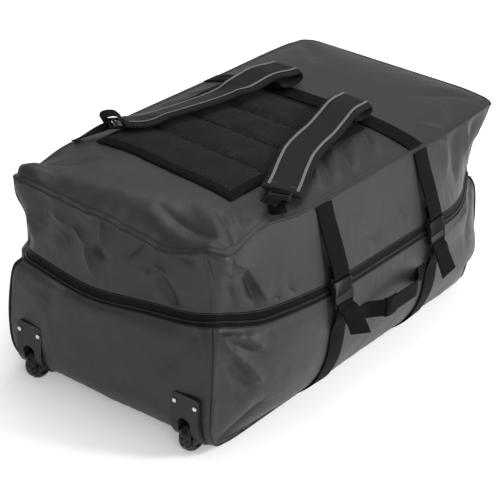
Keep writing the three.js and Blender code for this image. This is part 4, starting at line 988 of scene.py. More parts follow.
# %% Top panel
TOP_COLUMNS, TOP_ROWS = 260, 140
TOP_HOLD, TOP_CRUMPLE_SIZE, TOP_RIDGES = (0, 12), 110.0, 0.3
TOP_CORNER_X, TOP_CORNER_Y, TOP_CORNER_FADE = -440, 220, 90
TOP_PUCKER_PITCH, TOP_PUCKER_DEPTH = 30.0, 1.4


def folded_top(x, y):
    points = top_point(x, y)
    inset = edge_distance(x, y)
    held = smoothstep(inset, *TOP_HOLD)
    at_corner = np.exp(-np.hypot(x - TOP_CORNER_X, np.abs(y) - TOP_CORNER_Y) / TOP_CORNER_FADE)
    depth = fold_depth("top", x, y) + crumple(points, TOP_CRUMPLE_SIZE, 5.0)
    depth += (TOP_RIDGES + at_corner) * ridges(points, RIDGE_SIZE, 17.0)
    puckers = sewn_puckers(points, inset, TOP_PUCKER_PITCH, TOP_PUCKER_DEPTH)
    depth += puckers * smoothstep(inset, *PUCKER_HOLD)
    return points + top_normal(x, y) * (depth * held)[:, None]


def across_top(s, t):
    x = lerp(-SEAM["wheel"], SEAM["head"], lerp(s, (1 - np.cos(np.pi * s)) / 2, 0.35))
    right, left = -seam_edge(x, -np.ones_like(x)), seam_edge(x, np.ones_like(x))
    return folded_top(x, lerp(right, left, lerp(t, (1 - np.cos(np.pi * t)) / 2, 0.2)))


top_cloth = cloth_grid("top_cloth", TOP_COLUMNS, TOP_ROWS, across_top)
thicken(top_cloth, CLOTH_THICKNESS)
smooth(top_cloth, 60)
finished(top_cloth, cloth, "cloth", "top_panel")

# %% [markdown]
# ## Base panel
# The base is a tougher sheet that lies flat on the floor, reaches a little under the walls and is lifted
# between the wheels. It needs no folds, so a coarse grid will do. The housings are cut out of it too.

# %% Base panel
BASE_THICKNESS, BASE_OVERLAP, BASE_COLUMNS, BASE_ROWS = 2.4, 3, 90, 46
base = dict(zip(SECTION_COLUMNS, SECTIONS[BASE_ROW]))


def across_base(s, t):
    radius = base["radius"] + BASE_OVERLAP * 0.6
    wheel, head = base["wheel"] + BASE_OVERLAP, base["head"] + BASE_OVERLAP
    x = lerp(-wheel, head, (1 - np.cos(np.pi * s)) / 2)
    beyond = np.maximum(np.maximum(radius - wheel - x, x - head + radius), 0)
    turned = radius - np.sqrt(np.maximum(radius**2 - beyond**2, 0))
    middle = np.clip((x + wheel - radius) / (wheel + head - 2 * radius), 0, 1)
    bow = base["side_bow"] * (1 - np.abs(2 * middle - 1) ** SIDE_FULLNESS)
    y = lerp(-base["right"] - BASE_OVERLAP - bow + turned, base["left"] + BASE_OVERLAP + bow - turned, t)
    z = base_lift(x, y, 0) + BASE_THICKNESS
    return np.stack([x, y, z], -1)


base_cloth = cloth_grid("base_cloth", BASE_COLUMNS, BASE_ROWS, across_base)
thicken(base_cloth, BASE_THICKNESS)
cut_out(base_cloth)
smooth(base_cloth, 60)
finished(base_cloth, cloth, "cloth", "base_panel")
for cutter in cutters:
    bpy.data.objects.remove(cutter)

# %% [markdown]
# ## Cords
# Zip teeth, piping and rows of stitches are all thin cords on the cloth. A curve with a bevel could draw
# them, but its twist is hard to steer. A grid wrapped round the path keeps the same side on the cloth.

# %% Cord helper
CORD_SIDES, THREAD_SIDES = 8, 6


def cord_ring(points, outward):
    """Directions across a cord: sideways along the wall, and up from it."""
    tangent = unit(np.gradient(points, axis=0))
    if np.allclose(points[0], points[-1]):
        tangent[0] = tangent[-1] = unit(points[1] - points[-2])
    sideways = unit(np.cross(tangent, outward))
    return sideways, unit(np.cross(sideways, tangent))


def round_cord(name, points, outward, radius, sides=CORD_SIDES, flatness=1.0):
    sideways, up = cord_ring(points, outward)
    radius = np.broadcast_to(np.asarray(radius, float), len(points))
    columns = len(points) - 1

    def place(s, t):
        index = np.rint(s * columns).astype(int)
        angle = t * 2 * np.pi
        aside = (radius[index] * np.cos(angle))[:, None] * sideways[index]
        return points[index] + aside + (flatness * radius[index] * np.sin(angle))[:, None] * up[index]

    piece = cloth_grid(name, columns, sides, place)
    closed_round(piece)
    smooth(piece, 50)
    return piece


def trimmed(piece, finish):
    """Thin trim, which rides on the bag and stands for no solid of its own."""
    piece.data.materials.append(finish)
    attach(piece, "bag")


print("a cord has", CORD_SIDES, "sides, a thread", THREAD_SIDES)

# %% [markdown]
# ## Zip
# The zip runs all round the bag: two woven tapes sewn to the cloth, and a coil of small teeth between
# them. The coil is one cord whose thickness swells at each tooth, which keeps it light and even. It runs
# a little below the middle of the slit, so the upper tape is the wider one.

# %% Zip
ZIP_MIDDLE, ZIP_HALF, ZIP_STEPS = 7.42, 0.12, 600
TAPE_BULGE, TAPE_SINK, TAPE_THICKNESS = 0.5, 0.1, 1.6


def round_the_bag(row, offset, count):
    stops = stops_round(0.0, 8.0, count + 1)
    normals = wall_normal(stops, row)
    return wall_point(stops, row) + normals * offset, normals


def zip_tape(name, low, high):
    stops = stops_round(0.0, 8.0, ZIP_STEPS + 1)

    def place(s, t):
        u, row = stops[np.rint(s * ZIP_STEPS).astype(int)], lerp(low, high, t)
        bulge = TAPE_BULGE * np.sin(np.pi * t)
        return wall_point(u, row) + wall_normal(u, row) * (bulge - TAPE_SINK)[:, None]

    tape = cloth_grid(name, ZIP_STEPS, 4, place)
    closed_round(tape)
    thicken(tape, TAPE_THICKNESS)
    smooth(tape, 50)
    return tape


lower_tape = zip_tape("zip_tape_low", ZIP_LOW, ZIP_MIDDLE - ZIP_HALF)
upper_tape = zip_tape("zip_tape_high", ZIP_MIDDLE + ZIP_HALF, ZIP_HIGH)
finished(lower_tape, zip_black, "zip", "zip_lower_tape")
finished(upper_tape, zip_black, "zip", "zip_upper_tape")

# %% Zip teeth and its stitches
TOOTH_PITCH, TOOTH_SWELL, COIL_RISE, COIL_FLATNESS = 3.4, (2.1, 2.75, 2.75, 2.1), 0.1, 0.55
ZIP_THREAD, ZIP_THREAD_ROW, ZIP_THREAD_RISE = 0.55, 0.05, 0.25
around = np.linalg.norm(np.diff(round_the_bag(ZIP_MIDDLE, 0.0, 800)[0], axis=0), axis=1).sum()
teeth = int(around / TOOTH_PITCH)
coil_path, coil_out = round_the_bag(ZIP_MIDDLE, COIL_RISE, teeth * len(TOOTH_SWELL))
swell = np.tile(TOOTH_SWELL, teeth)
coil = round_cord("zip_teeth", coil_path, coil_out, np.append(swell, swell[0]), CORD_SIDES, COIL_FLATNESS)
finished(coil, plastic, "zip", "zip_coil")
for name, row in (("low", ZIP_LOW + ZIP_THREAD_ROW), ("high", ZIP_HIGH - ZIP_THREAD_ROW)):
    thread_path, thread_out = round_the_bag(row, ZIP_THREAD_RISE, 700)
    thread = round_cord(f"zip_stitching_{name}", thread_path, thread_out, ZIP_THREAD, THREAD_SIDES)
    trimmed(thread, stitch_grey)
print("zip teeth:", teeth)

# %% [markdown]
# ## A smooth path
# A strap or a seam is easiest to give by a few stops. This helper draws a smooth curve through them, with
# points in even steps, and carries along any direction that is given at the stops.

# %% Smooth path
def smooth_path(stops, spacing, *carried):
    """Points about one spacing apart on a smooth curve through the stops, with vectors carried along."""
    stops = np.asarray(stops, float)
    run = np.maximum(np.linalg.norm(np.diff(stops, axis=0), axis=1), 1e-6)
    slope = np.diff(stops, axis=0) / run[:, None]
    inner = (slope[:-1] * run[1:, None] + slope[1:] * run[:-1, None]) / (run[1:] + run[:-1])[:, None]
    tangent = np.vstack([slope[:1], inner, slope[-1:]])
    points, extras = [], [[] for _ in carried]
    for k, length in enumerate(run):
        last = k == len(run) - 1
        steps = max(1, int(np.ceil(length / spacing)))
        t = np.linspace(0, 1, steps + 1)[: None if last else -1, None]
        leave = stops[k] * (1 + 2 * t) * (1 - t) ** 2 + tangent[k] * length * t * (1 - t) ** 2
        arrive = stops[k + 1] * t**2 * (3 - 2 * t) + tangent[k + 1] * length * t**2 * (t - 1)
        points.append(leave + arrive)
        for extra, vectors in zip(extras, carried):
            extra.append(lerp(np.asarray(vectors[k], float), np.asarray(vectors[k + 1], float), t))
    return (np.vstack(points), *(np.vstack(extra) for extra in extras))


bend = smooth_path([(0, 0), (10, 0), (10, 10)], 2.0)[0]
print("points on a bend of three stops:", len(bend))

# %% [markdown]
# ## Piping in the top seam
# A cloth-covered cord is sewn into the top seam. It stiffens the edge and hides the seam itself. Here it
# is a round cord along the seam, moved a little straight outwards so that it shows from above too.

# %% Top piping
PIPING_RADIUS, PIPING_OUT = 2.0, 1.4
seam_stops = stops_round(0.0, 8.0, 641)
edge = wall_point(seam_stops, float(SEAM_ROW))
behind, ahead = (wall_point(seam_stops + step, float(SEAM_ROW)) for step in (-NUDGE, NUDGE))
level_out = ahead - behind
level_out = unit(np.stack([level_out[:, 1], -level_out[:, 0], 0 * level_out[:, 0]], -1))
edge = edge + level_out * PIPING_OUT
edge[:, 2] += TOP_SEAM_LIFT / 2
top_piping = round_cord("top_seam_piping", edge, level_out, PIPING_RADIUS, 10)
finished(top_piping, piping_cloth, "piping", "top_piping")

# %% [markdown]
# ## Stitches beside the top seam
# A row of stitches shows on both sides of the piping, one on the top and one on the walls. Each is drawn
# on the folded cloth itself, so that it follows every pucker, and as one thin cord, because the single
# stitches are too small to be seen apart.

# %% Top seam stitches
STITCH_INSET, STITCH_ROW, STITCH_RISE, STITCH_RADIUS = 8.0, 10.84, 0.4, 0.6
inside = wall_point(seam_stops, float(SEAM_ROW)) - level_out * STITCH_INSET - settle(*edge.T[:2])
top_line = folded_top(inside[:, 0], inside[:, 1]) + (0, 0, STITCH_RISE)
rows_of_stitches = {"top": (top_line, level_out)}
for wall, (low, high) in PANEL_SPAN.items():
    stops = stops_round(low + 0.02, high - 0.02, 180)
    under = np.full(180, STITCH_ROW)
    line = folded_wall(stops, under, wall, "upper")
    outward = wall_normal(stops, under)
    rows_of_stitches[wall] = (line + outward * STITCH_RISE, outward)
for name, (line, outward) in rows_of_stitches.items():
    thread = round_cord(f"top_seam_stitches_{name}", line, outward, STITCH_RADIUS, THREAD_SIDES)
    trimmed(thread, stitch_grey)
print("rows of stitches:", len(rows_of_stitches))

# %% [markdown]
# ## Piping round the side panels
# The lower side panels have piping too: down one corner, along the base and up the other. The path is
# given in (u, row), so the cord lies on the wall wherever the wall goes.

# %% Side piping
SIDE_PIPING_RISE = 1.9


def side_piping(low, high):
    """Down the wheel-end corner, along the lower edge and up the head-end corner, or the other way."""
    bend = 0.55
    down = [(low, row) for row in (ZIP_LOW - 0.1, 6, 5, 4, 3.2)]
    turn = [(low + 0.02, 2.5), (low + 0.12, 1.9), (low + bend - 0.2, EDGE_ROW)]
    along = [(u, EDGE_ROW) for u in np.linspace(low + bend, high - bend, 12)]
    back = [(low + high - u, row) for u, row in reversed(turn)]
    up = [(high, row) for _, row in reversed(down)]
    u, row = smooth_path([*down, *turn, *along, *back, *up], 0.05)[0].T
    normals = wall_normal(u, row)
    return smooth_path(wall_point(u, row) + normals * SIDE_PIPING_RISE, 5.0, normals)


for name, (low, high) in (("right", PANEL_SPAN["right"]), ("left", PANEL_SPAN["left"])):
    path, outward = side_piping(low, high)
    cord = round_cord(f"side_seam_piping_{name}", path, outward, PIPING_RADIUS)
    finished(cord, piping_cloth, "piping", f"side_piping_{name}")

# %% [markdown]
# ## Webbing
# A strap is flat webbing along a smooth path, with the direction of its width given at each stop. It
# is a narrow grid, thickened both ways, with its edges rounded. The first one is the webbing sewn across
# the top, under the folds of the shoulder straps.

# %% Webbing helper and cross webbing
WEBBING_WIDTH, WEBBING_THICKNESS, WEBBING_ROWS, WEBBING_EDGE = 46.0, 2.0, 6, 0.5


def webbing(name, stops, across, width, thickness=WEBBING_THICKNESS, spacing=4.0):
    path, across = smooth_path(stops, spacing, across)
    tangent = unit(np.gradient(path, axis=0))
    across = unit(across - (across * tangent).sum(1)[:, None] * tangent)
    columns = len(path) - 1

    def place(s, t):
        index = np.rint(s * columns).astype(int)
        return path[index] + across[index] * ((t - 0.5) * width)[:, None]

    strap = cloth_grid(name, columns, WEBBING_ROWS, place)
    thicken(strap, thickness, 0.0)
    round_edges(strap, WEBBING_EDGE)
    smooth(strap, 45)
    return strap


PAD_SEAT, CROSS_X = 1.4, 148.0
reach = [float(seam_reach(CROSS_X, side)) - 1 for side in (-1, 1)]
across_y = np.linspace(-reach[0], reach[1], 22)
cross_stops = top_point(CROSS_X, across_y, WEBBING_THICKNESS / 2 + PAD_SEAT)
cross_width = top_point(CROSS_X + 5, across_y) - top_point(CROSS_X - 5, across_y)
cross = webbing("cross_strap", cross_stops, cross_width, WEBBING_WIDTH)
finished(cross, webbing_black, "webbing", "cross_webbing")

# %% [markdown]
# ## Back pad: the sewn shape
# The pad is spacer mesh over foam, sewn down into four wide channels across the back. It starts as a grid
# over the top panel that dips at the sewn lines. Its wheel edge is sewn on a little askew.

# %% Pad shape
PAD = {"wheel": -320, "skew": 34, "head": 116, "right": 150, "left": 194, "binding": 17}
PAD_CHANNELS, PAD_CREST, PAD_LOW = 4, 8.4, 2.6
PAD_STEPS, PAD_ROWS, PUFF_FULLNESS, PUFF_AT_ENDS = 26, 56, 0.38, 0.8
pad_inset = PAD["binding"] + GAP
pad_columns = PAD_CHANNELS * PAD_STEPS


def pad_wheel_edge(y):
    """The pad's wheel edge runs a little askew across the bag."""
    return PAD["wheel"] + PAD["skew"] * (y + PAD["right"]) / (PAD["right"] + PAD["left"])


def pad_rise(x, y):
    """How high the pad stands: full channels between sewn lines, with soft ends."""
    wheel, head = pad_wheel_edge(y) + pad_inset, PAD["head"] - pad_inset
    s = np.clip((x - wheel) / (head - wheel), 0, 1)
    puff = np.abs(np.sin(s * PAD_CHANNELS * np.pi)) ** PUFF_FULLNESS
    half = 0.5 / PAD_CHANNELS
    puff = np.where((s < half) | (s > 1 - half), np.maximum(puff, PUFF_AT_ENDS), puff)
    return PAD_LOW + (PAD_CREST - PAD_LOW) * puff


def across_pad(s, t):
    y = lerp(pad_inset - PAD["right"], PAD["left"] - pad_inset, t)
    x = lerp(pad_wheel_edge(y) + pad_inset, PAD["head"] - pad_inset, s)
    return top_point(x, y, PAD_SEAT + pad_rise(x, y))


back_pad = cloth_grid("mesh_back_pad", pad_columns, PAD_ROWS, across_pad)
print("pad channels:", PAD_CHANNELS)

# %% [markdown]
# ## Back pad: the foam's swell
# Channels drawn by a formula all look alike. So the sewn lines and the edge are pinned, and Blender's
# cloth is blown up between them with a little pressure: each channel then swells by itself. A cap on how
# far a point may move keeps the pad close to its solid.

# %% Swelling the pad
PAD_SKIN, PAD_PRESSURE, SWELL_FRAMES, SWELL_CAP = 3.2, 4.0, 20, 2.4


def blow_up(piece, pinned, pressure, frames, cap):
    """Swells cloth between its pinned points, then keeps each point within cap of its start."""
    group = piece.vertex_groups.new(name="sewn")
    group.add([int(k) for k in np.flatnonzero(pinned)], 1.0, "REPLACE")
    start = np.array([v.co for v in piece.data.vertices])
    only(piece)
    cloth_modifier = piece.modifiers.new("swell", "CLOTH")
    settings = cloth_modifier.settings
    settings.quality = 6
    settings.use_pressure = True
    settings.uniform_pressure_force = pressure
    settings.vertex_group_mass = "sewn"
    settings.effector_weights.gravity = 0
    settings.shrink_min = -0.02
    cloth_modifier.point_cache.frame_end = frames
    for step in range(1, frames + 1):
        bpy.context.scene.frame_set(step)
    bpy.ops.object.modifier_apply(modifier="swell")
    bpy.context.scene.frame_set(1)
    moved = np.array([v.co for v in piece.data.vertices]) - start
    length = np.maximum(np.linalg.norm(moved, axis=1, keepdims=True), 1e-9)
    moved *= np.minimum(1, cap * MM / length)
    piece.data.vertices.foreach_set("co", (start + moved).ravel())
    piece.vertex_groups.clear()
    most = float(np.linalg.norm(moved, axis=1).max() / MM)
    print(piece.name, "swelled by up to", round(most, 1), "mm")


index = np.arange(len(back_pad.data.vertices))
column, row = index % (pad_columns + 1), index // (pad_columns + 1)
edge_rows = (row == 0) | (row == PAD_ROWS)
sewn = (column % PAD_STEPS == 0) | edge_rows
blow_up(back_pad, sewn, PAD_PRESSURE, SWELL_FRAMES, SWELL_CAP)
thicken(back_pad, PAD_SKIN)
smooth(back_pad, 70)
finished(back_pad, pad_mesh, "mesh", "back_pad")

# %% [markdown]
# ## Pad binding
# A strip of darker, finer mesh is folded over the pad's raw edge and sewn down all round. It is a grid
# that runs once round the pad and rolls from the top panel up to the pad's own edge.

# %% Pad binding
BINDING_STEPS, BINDING_ROWS, BINDING_SKIN, BINDING_LOW, BINDING_ROLL = 480, 10, 1.8, 1.4, 0.6


def binding_point(inset, share):
    """A place on the pad's border, going round it once as share goes from 0 to 1."""
    leg = np.minimum((share * 4).astype(int), 3)
    t = share * 4 - leg
    low, high, head = inset - PAD["right"], PAD["left"] - inset, PAD["head"] - inset
    y = np.choose(leg, (low, lerp(low, high, t), high, lerp(high, low, t)))
    wheel = pad_wheel_edge(y) + inset
    return np.choose(leg, (lerp(wheel, head, t), head, lerp(head, wheel, t), wheel)), y


def across_binding(s, t):
    inner_x, inner_y = binding_point(pad_inset, s)
    x, y = binding_point(pad_inset * t, s)
    roll = lerp(BINDING_LOW, pad_rise(inner_x, inner_y), np.sin(np.pi / 2 * t) ** BINDING_ROLL)
    return top_point(x, y, PAD_SEAT + roll)


binding = cloth_grid("pad_binding", BINDING_STEPS, BINDING_ROWS, across_binding)
closed_round(binding)
thicken(binding, BINDING_SKIN)
smooth(binding, 70)
finished(binding, pad_edge, "mesh", "back_pad_binding")

# %% [markdown]
# ## Corner seams
# Above the zip the wall panels meet at the corners in a flat felled seam: a narrow strip of the same
# cloth with two rows of stitching. The strip is webbing of cloth, and each row of stitches a thin cord.

# %% Corner seams
WELT_WIDTH, WELT_THICKNESS, WELT_RISE, WELT_STITCH_RISE = 9.0, 1.2, 0.9, 1.7
for corner, u in (("near", 7.5), ("far_right", 1.5), ("far_left", 3.5), ("hidden", 5.5)):
    rows = np.linspace(ZIP_HIGH + 0.03, SEAM_ROW - 0.12, 12)
    normals = wall_normal(u + seam_lean(u, rows), rows)
    seam_line = wall_point(u + seam_lean(u, rows), rows)
    beside = unit(np.cross(normals, np.gradient(seam_line, axis=0)))
    raised = seam_line + normals * WELT_RISE
    trimmed(webbing(f"corner_welt_{corner}", raised, beside, WELT_WIDTH, WELT_THICKNESS), cloth)
    for row_name, aside in (("a", -3.0), ("b", 3.0)):
        raised = seam_line + normals * WELT_STITCH_RISE + beside * aside
        line, outward = smooth_path(raised, 4.0, normals)
        stitches = f"corner_stitches_{corner}_{row_name}"
        trimmed(round_cord(stitches, line, outward, STITCH_RADIUS, THREAD_SIDES), stitch_grey)
print("corner seams:", WELT_WIDTH, "mm wide")

# %% [markdown]
# ## Where the buckles sit
# Two straps with a buckle cross each long side and pull the load tight. A buckle hangs just above the
# belly's widest line and leans with the wall behind it, so its place is found from the wall: its origin,
# and its axes across the strap, down the strap and outwards.

# %% Buckle places
STRAP_X = {"wheel": -174.0, "head": 158.0}
BUCKLE_TOP_Z, BUCKLE_END, BUCKLE_STAND, BAR_RADIUS = 296.0, 60.0, 11.0, 2.2


def wall_out(x, z, side):
    """How far the side wall stands from the middle line at x and z, found by halving."""
    low, high = 0.0, float(SEAM_ROW)
    for _ in range(24):
        row = np.array((low + high) / 2)
        section = section_at(row)
        t = (x + section["wheel"] - section["radius"]) / (
            section["wheel"] + section["head"] - 2 * section["radius"]
        )
        u = np.clip(t, 0.001, 0.999) if side < 0 else 5 - np.clip(t, 0.001, 0.999)
        point = wall_point(u, row)
        low, high = (float(row), high) if point[2] < z else (low, float(row))
    return abs(float(point[1]))


def buckle_frame(x, side):
    """The buckle's place: its origin, and its axes across, down the strap and outwards."""
    low_z = BUCKLE_TOP_Z - BUCKLE_END
    top = np.array((x, side * (wall_out(x, BUCKLE_TOP_Z, side) + BUCKLE_STAND), BUCKLE_TOP_Z))
    bottom = np.array((x, side * (wall_out(x, low_z, side) + BUCKLE_STAND), low_z))
    down = unit(bottom - top)
    slope = (wall_out(x + 10, low_z, side) - wall_out(x - 10, low_z, side)) / 20
    across = unit(np.array((1.0, side * slope, 0.0)))
    outward = np.array((0.0, -side * down[2], side * down[1]))
    return {"x": x, "side": side, "origin": top, "across": across, "down": down, "out": outward}


def in_buckle(place, aside, s, n):
    """A point in the buckle's own axes: across, down the strap and out."""
    return place["origin"] + place["across"] * aside + place["down"] * s + place["out"] * n


buckle_places = {}
for side_name, side in SIDE_OF.items():
    for end_name, x in STRAP_X.items():
        buckle_places[f"{side_name}_{end_name}"] = buckle_frame(x, side)
print("buckles:", list(buckle_places))

# %% [markdown]
# ## Compression straps
# The upper strap is sewn into the top seam and looped round the buckle's bar. The lower one comes up from
# the base, turns round the other bar and hangs as a loose tail with a twist. A simulated tail would end
# up anywhere, so its stops are given: how far aside, down and out it lies, and how its cut end is turned.

# %% Compression straps
STRAP_SEAT, SEWN_FOLD = 3.0, 26.0
TAILS = {
    "wheel": [(2, 10, 3), (6, 26, 8), (5, 42, 16), (-1, 55, 25)],
    "head": [(2, 11, 1), (4, 27, 2), (7, 47, 5), (10, 67, 8)],
}
TAIL_END_WIDTH = {"wheel": (0.92, 0.24, 0.29), "head": (0.98, -0.16, 0.1)}
LOOP_RADIUS = BAR_RADIUS + 1.5 * GAP + WEBBING_THICKNESS / 2
SEAM_BESIDE, LOWER_STRAP_Z = 252.0, (27, 40, 60, 85, 112, 145, 185)


def on_wall(place, z):
    """A point of a strap that lies on the wall at one height."""
    x, side = place["x"], place["side"]
    return np.array((x, side * (wall_out(x, z, side) + STRAP_SEAT), z))


def half_loop(place, centre, start, end):
    """Stops half round a bar, with a straight stop before and after."""
    angles = np.linspace(start, end, 6)
    turn = [in_buckle(place, 0, centre + LOOP_RADIUS * np.sin(a), LOOP_RADIUS * np.cos(a)) for a in angles]
    away = -4 * np.sin((start + end) / 2)
    run_in = in_buckle(place, 0, centre + away, LOOP_RADIUS * np.cos(start))
    return [run_in, *turn, in_buckle(place, 0, centre + away, LOOP_RADIUS * np.cos(end))]


def upper_strap(place):
    rise = settle(place["x"], place["side"] * SEAM_BESIDE)[2]
    run = [on_wall(place, z) for z in (415 + rise, 402 + rise / 2)]
    lean = in_buckle(place, 0, -SEWN_FOLD - 6, 0)
    back = in_buckle(place, 0, -SEWN_FOLD + 4, -LOOP_RADIUS)
    stops = [*run, lean, *half_loop(place, BAR_RADIUS, 0, np.pi), back]
    return stops, [place["across"]] * len(stops)


def lower_strap(place, end_name):
    """Up the wall, round the bar, and a loose tail whose cut end twists as the tables say."""
    bar = BUCKLE_END - BAR_RADIUS
    run = [on_wall(place, z) for z in LOWER_STRAP_Z]
    behind = in_buckle(place, 0, BUCKLE_END + 16, -LOOP_RADIUS)
    loop = half_loop(place, bar, np.pi, 2 * np.pi)
    wide = TAIL_END_WIDTH[end_name]
    twisted = unit(place["across"] * wide[0] + place["down"] * wide[1] + place["out"] * wide[2])
    tail, tail_widths = [], []
    for aside, down, out in TAILS[end_name]:
        tail.append(in_buckle(place, aside, bar + down, LOOP_RADIUS + 2 + out))
        share = down / TAILS[end_name][-1][1]
        tail_widths.append(unit(lerp(place["across"], twisted, share**1.3)))
    stops = [*run, behind, *loop, *tail]
    return stops, [place["across"]] * (len(stops) - len(tail)) + tail_widths


for label, place in buckle_places.items():
    upper = webbing(f"upper_strap_{label}", *upper_strap(place), WEBBING_WIDTH, spacing=2.5)
    finished(upper, webbing_black, "webbing", f"strap_upper_{label}")
    lower_stops = lower_strap(place, label.split("_")[1])
    lower = webbing(f"lower_strap_{label}", *lower_stops, WEBBING_WIDTH, spacing=2.5)
    finished(lower, webbing_black, "webbing", f"strap_lower_{label}")

# %% [markdown]
# ## Helpers for hard pieces
# Hard pieces are built at the origin from blocks and rods, joined or cut by booleans. Faces are chosen by
# where they are and which way they face, since nobody is there to click on them. What repeats is made
# once, and each copy gets a mesh of its own, already moved to its place.

# %% Helpers for hard pieces
def local_block(name, low, high):
    nothing_selected()
    low, high = np.array(low) * MM, np.array(high) * MM
    bpy.ops.mesh.primitive_cube_add(size=1, location=tuple((low + high) / 2), scale=tuple(high - low))
    made = bpy.context.object
    made.name = made.data.name = name
    bpy.ops.object.transform_apply(location=True, rotation=True, scale=True)
    return made


def local_rod(name, radius, start, end, vertices=20):
    """A round bar between two points, in millimetres."""
    nothing_selected()
    start, end = Vector(start) * MM, Vector(end) * MM
    turn = (end - start).to_track_quat("Z", "Y").to_euler()
    bpy.ops.mesh.primitive_cylinder_add(
        vertices=vertices,
        radius=radius * MM,
        depth=(end - start).length,
        location=(start + end) / 2,
        rotation=turn,
    )
    made = bpy.context.object
    made.name = made.data.name = name
    bpy.ops.object.transform_apply(location=True, rotation=True, scale=True)
    return made


def choose_faces(piece, test):
    """Enters edit mode with the faces selected whose centre (mm) and normal pass the test."""
    only(piece)
    for face in piece.data.polygons:
        face.select = bool(test(np.array(face.center) / MM, np.array(face.normal)))
    for edge_line in piece.data.edges:
        edge_line.select = False
    for point in piece.data.vertices:
        point.select = False
    bpy.ops.object.mode_set(mode="EDIT")
    bpy.ops.mesh.select_mode(type="FACE")


def inset_faces(piece, test, width, push):
    """Insets the chosen faces and pushes the new inner faces along their normals."""
    choose_faces(piece, test)
    bpy.ops.mesh.inset(thickness=width * MM, depth=push * MM, use_even_offset=True)
    bpy.ops.object.mode_set(mode="OBJECT")


def combine(piece, other, operation):
    apply_modifier(piece, "BOOLEAN", operation=operation, object=other, solver="EXACT")
    bpy.data.objects.remove(other)


def copy_at(source, name, matrix):
    made = source.copy()
    made.data = source.data.copy()
    made.name = made.data.name = name
    bpy.context.collection.objects.link(made)
    made.data.transform(matrix)
    return made


print("buckles to fit:", len(buckle_places))

# %% [markdown]
# ## Buckles
# A side-release buckle has a hollow socket and a plug with two prongs that show in the socket's sides.
# Each half starts as a block: its front is inset for a raised panel, the prong windows are cut away, arms
# and a bar are joined on for the strap, and the edges are rounded. Sharp edges would give it away as a
# computer model at once.

# %% Buckle halves
BUCKLE_HALF, SOCKET_START, SOCKET_END, PLUG_END = 28.0, 7.6, 36.0, 52.0
ARM_INNER = WEBBING_WIDTH / 2 + 1.5


def add_arms(piece, start, end, bar):
    for side in (-1, 1):
        low, high = sorted((side * ARM_INNER, side * BUCKLE_HALF))
        arm = local_block("arm", (low, min(start, end), -BAR_RADIUS), (high, max(start, end), BAR_RADIUS))
        combine(piece, arm, "UNION")
    combine(piece, local_rod("bar", BAR_RADIUS, (-BUCKLE_HALF, bar, 0), (BUCKLE_HALF, bar, 0)), "UNION")


socket = local_block("socket", (-BUCKLE_HALF, SOCKET_START, -5.5), (BUCKLE_HALF, SOCKET_END, 5.5))
inset_faces(socket, lambda centre, normal: normal[2] > 0.9, 4.0, -0.9)
inset_faces(socket, lambda centre, normal: normal[2] > 0.9 and abs(centre[0]) < 20, 3.0, 0.8)
for side in (-1, 1):
    low, high = sorted((side * 21.0, side * 30.0))
    combine(socket, local_block("window", (low, 12.5, -3.1), (high, SOCKET_END + 2, 3.1)), "DIFFERENCE")
    bite = local_rod("bite", 13.0, (side * 37.0, 24.0, -9), (side * 37.0, 24.0, 9), 40)
    combine(socket, bite, "DIFFERENCE")
add_arms(socket, BAR_RADIUS, SOCKET_START + 1, BAR_RADIUS)
round_edges(socket, 0.7, 2, 40)
smooth(socket, 35)

plug = local_block("plug", (-BUCKLE_HALF, SOCKET_END + GAP, -4.4), (BUCKLE_HALF, PLUG_END, 4.4))
inset_faces(plug, lambda centre, normal: normal[2] > 0.9, 3.0, -0.7)
for side in (-1, 1):
    low, high = sorted((side * 21.6, side * 27.2))
    prong = local_block("prong", (low, 13.2, -2.6), (high, SOCKET_END + 2, 2.6))
    combine(plug, prong, "UNION")
add_arms(plug, PLUG_END - 1, BUCKLE_END - BAR_RADIUS, BUCKLE_END - BAR_RADIUS)
round_edges(plug, 0.7, 2, 40)
smooth(plug, 35)
print("socket and plug:", len(socket.data.polygons), len(plug.data.polygons), "faces")

# %% Buckles in their places
for label, place in buckle_places.items():
    turn = Matrix((place["across"] * place["side"], place["down"], place["out"])).transposed().to_4x4()
    matrix = Matrix.Translation(placed(place["origin"])) @ turn
    finished(copy_at(socket, f"socket_{label}", matrix), plastic, "plastic", f"buckle_socket_{label}")
    finished(copy_at(plug, f"plug_{label}", matrix), plastic, "plastic", f"buckle_plug_{label}")
bpy.data.objects.remove(socket)
bpy.data.objects.remove(plug)

# %% [markdown]
# ## The shoulder straps' routes
# Both straps are folded back on themselves at the head end and lie loosely over the pad towards the side
# seams. Thick foam bends in slow curves, so a few stops describe it well. The left strap has also rolled
# outwards a little about its own middle line, on its way over the pad.

# %% Shoulder strap routes
# x on the right and on the left strap, distance of each from the middle line, rise over the top
SHOULDER_ROUTE = np.array(
    [
        (96, 128, 98, 96, 18),
        (128, 166, 98, 94, 11.4),
        (147, 184, 98, 94, 12.6),
        (156, 194, 98, 93, 21),
        (150, 188, 99, 93, 30),
        (128, 164, 101, 95, 34),
        (90, 120, 106, 102, 37),
        (45, 60, 113, 110, 28),
        (0, 5, 121, 117, 21),
        (-50, -50, 129, 126, 19),
        (-105, -105, 143, 136, 19),
        (-155, -155, 163, 147, 19),
        (-205, -196, 185, 158, 19),
        (-250, -226, 203, 178, 23),
    ],
    float,
)


def shoulder_stops(side):
    """The strap's route over the top, which the sunk and pulled places of the cloth do not move."""
    right_x, left_x, right, left, rise = SHOULDER_ROUTE.T
    x, y = (right_x, -right) if side < 0 else (left_x, left)
    return top_point(x, y, rise) - settle(x, y)


LEFT_ROLL, ROLL_FADES_IN, ROLL_FADES_OUT = math.radians(13), (-62, -18), (-220, -150)


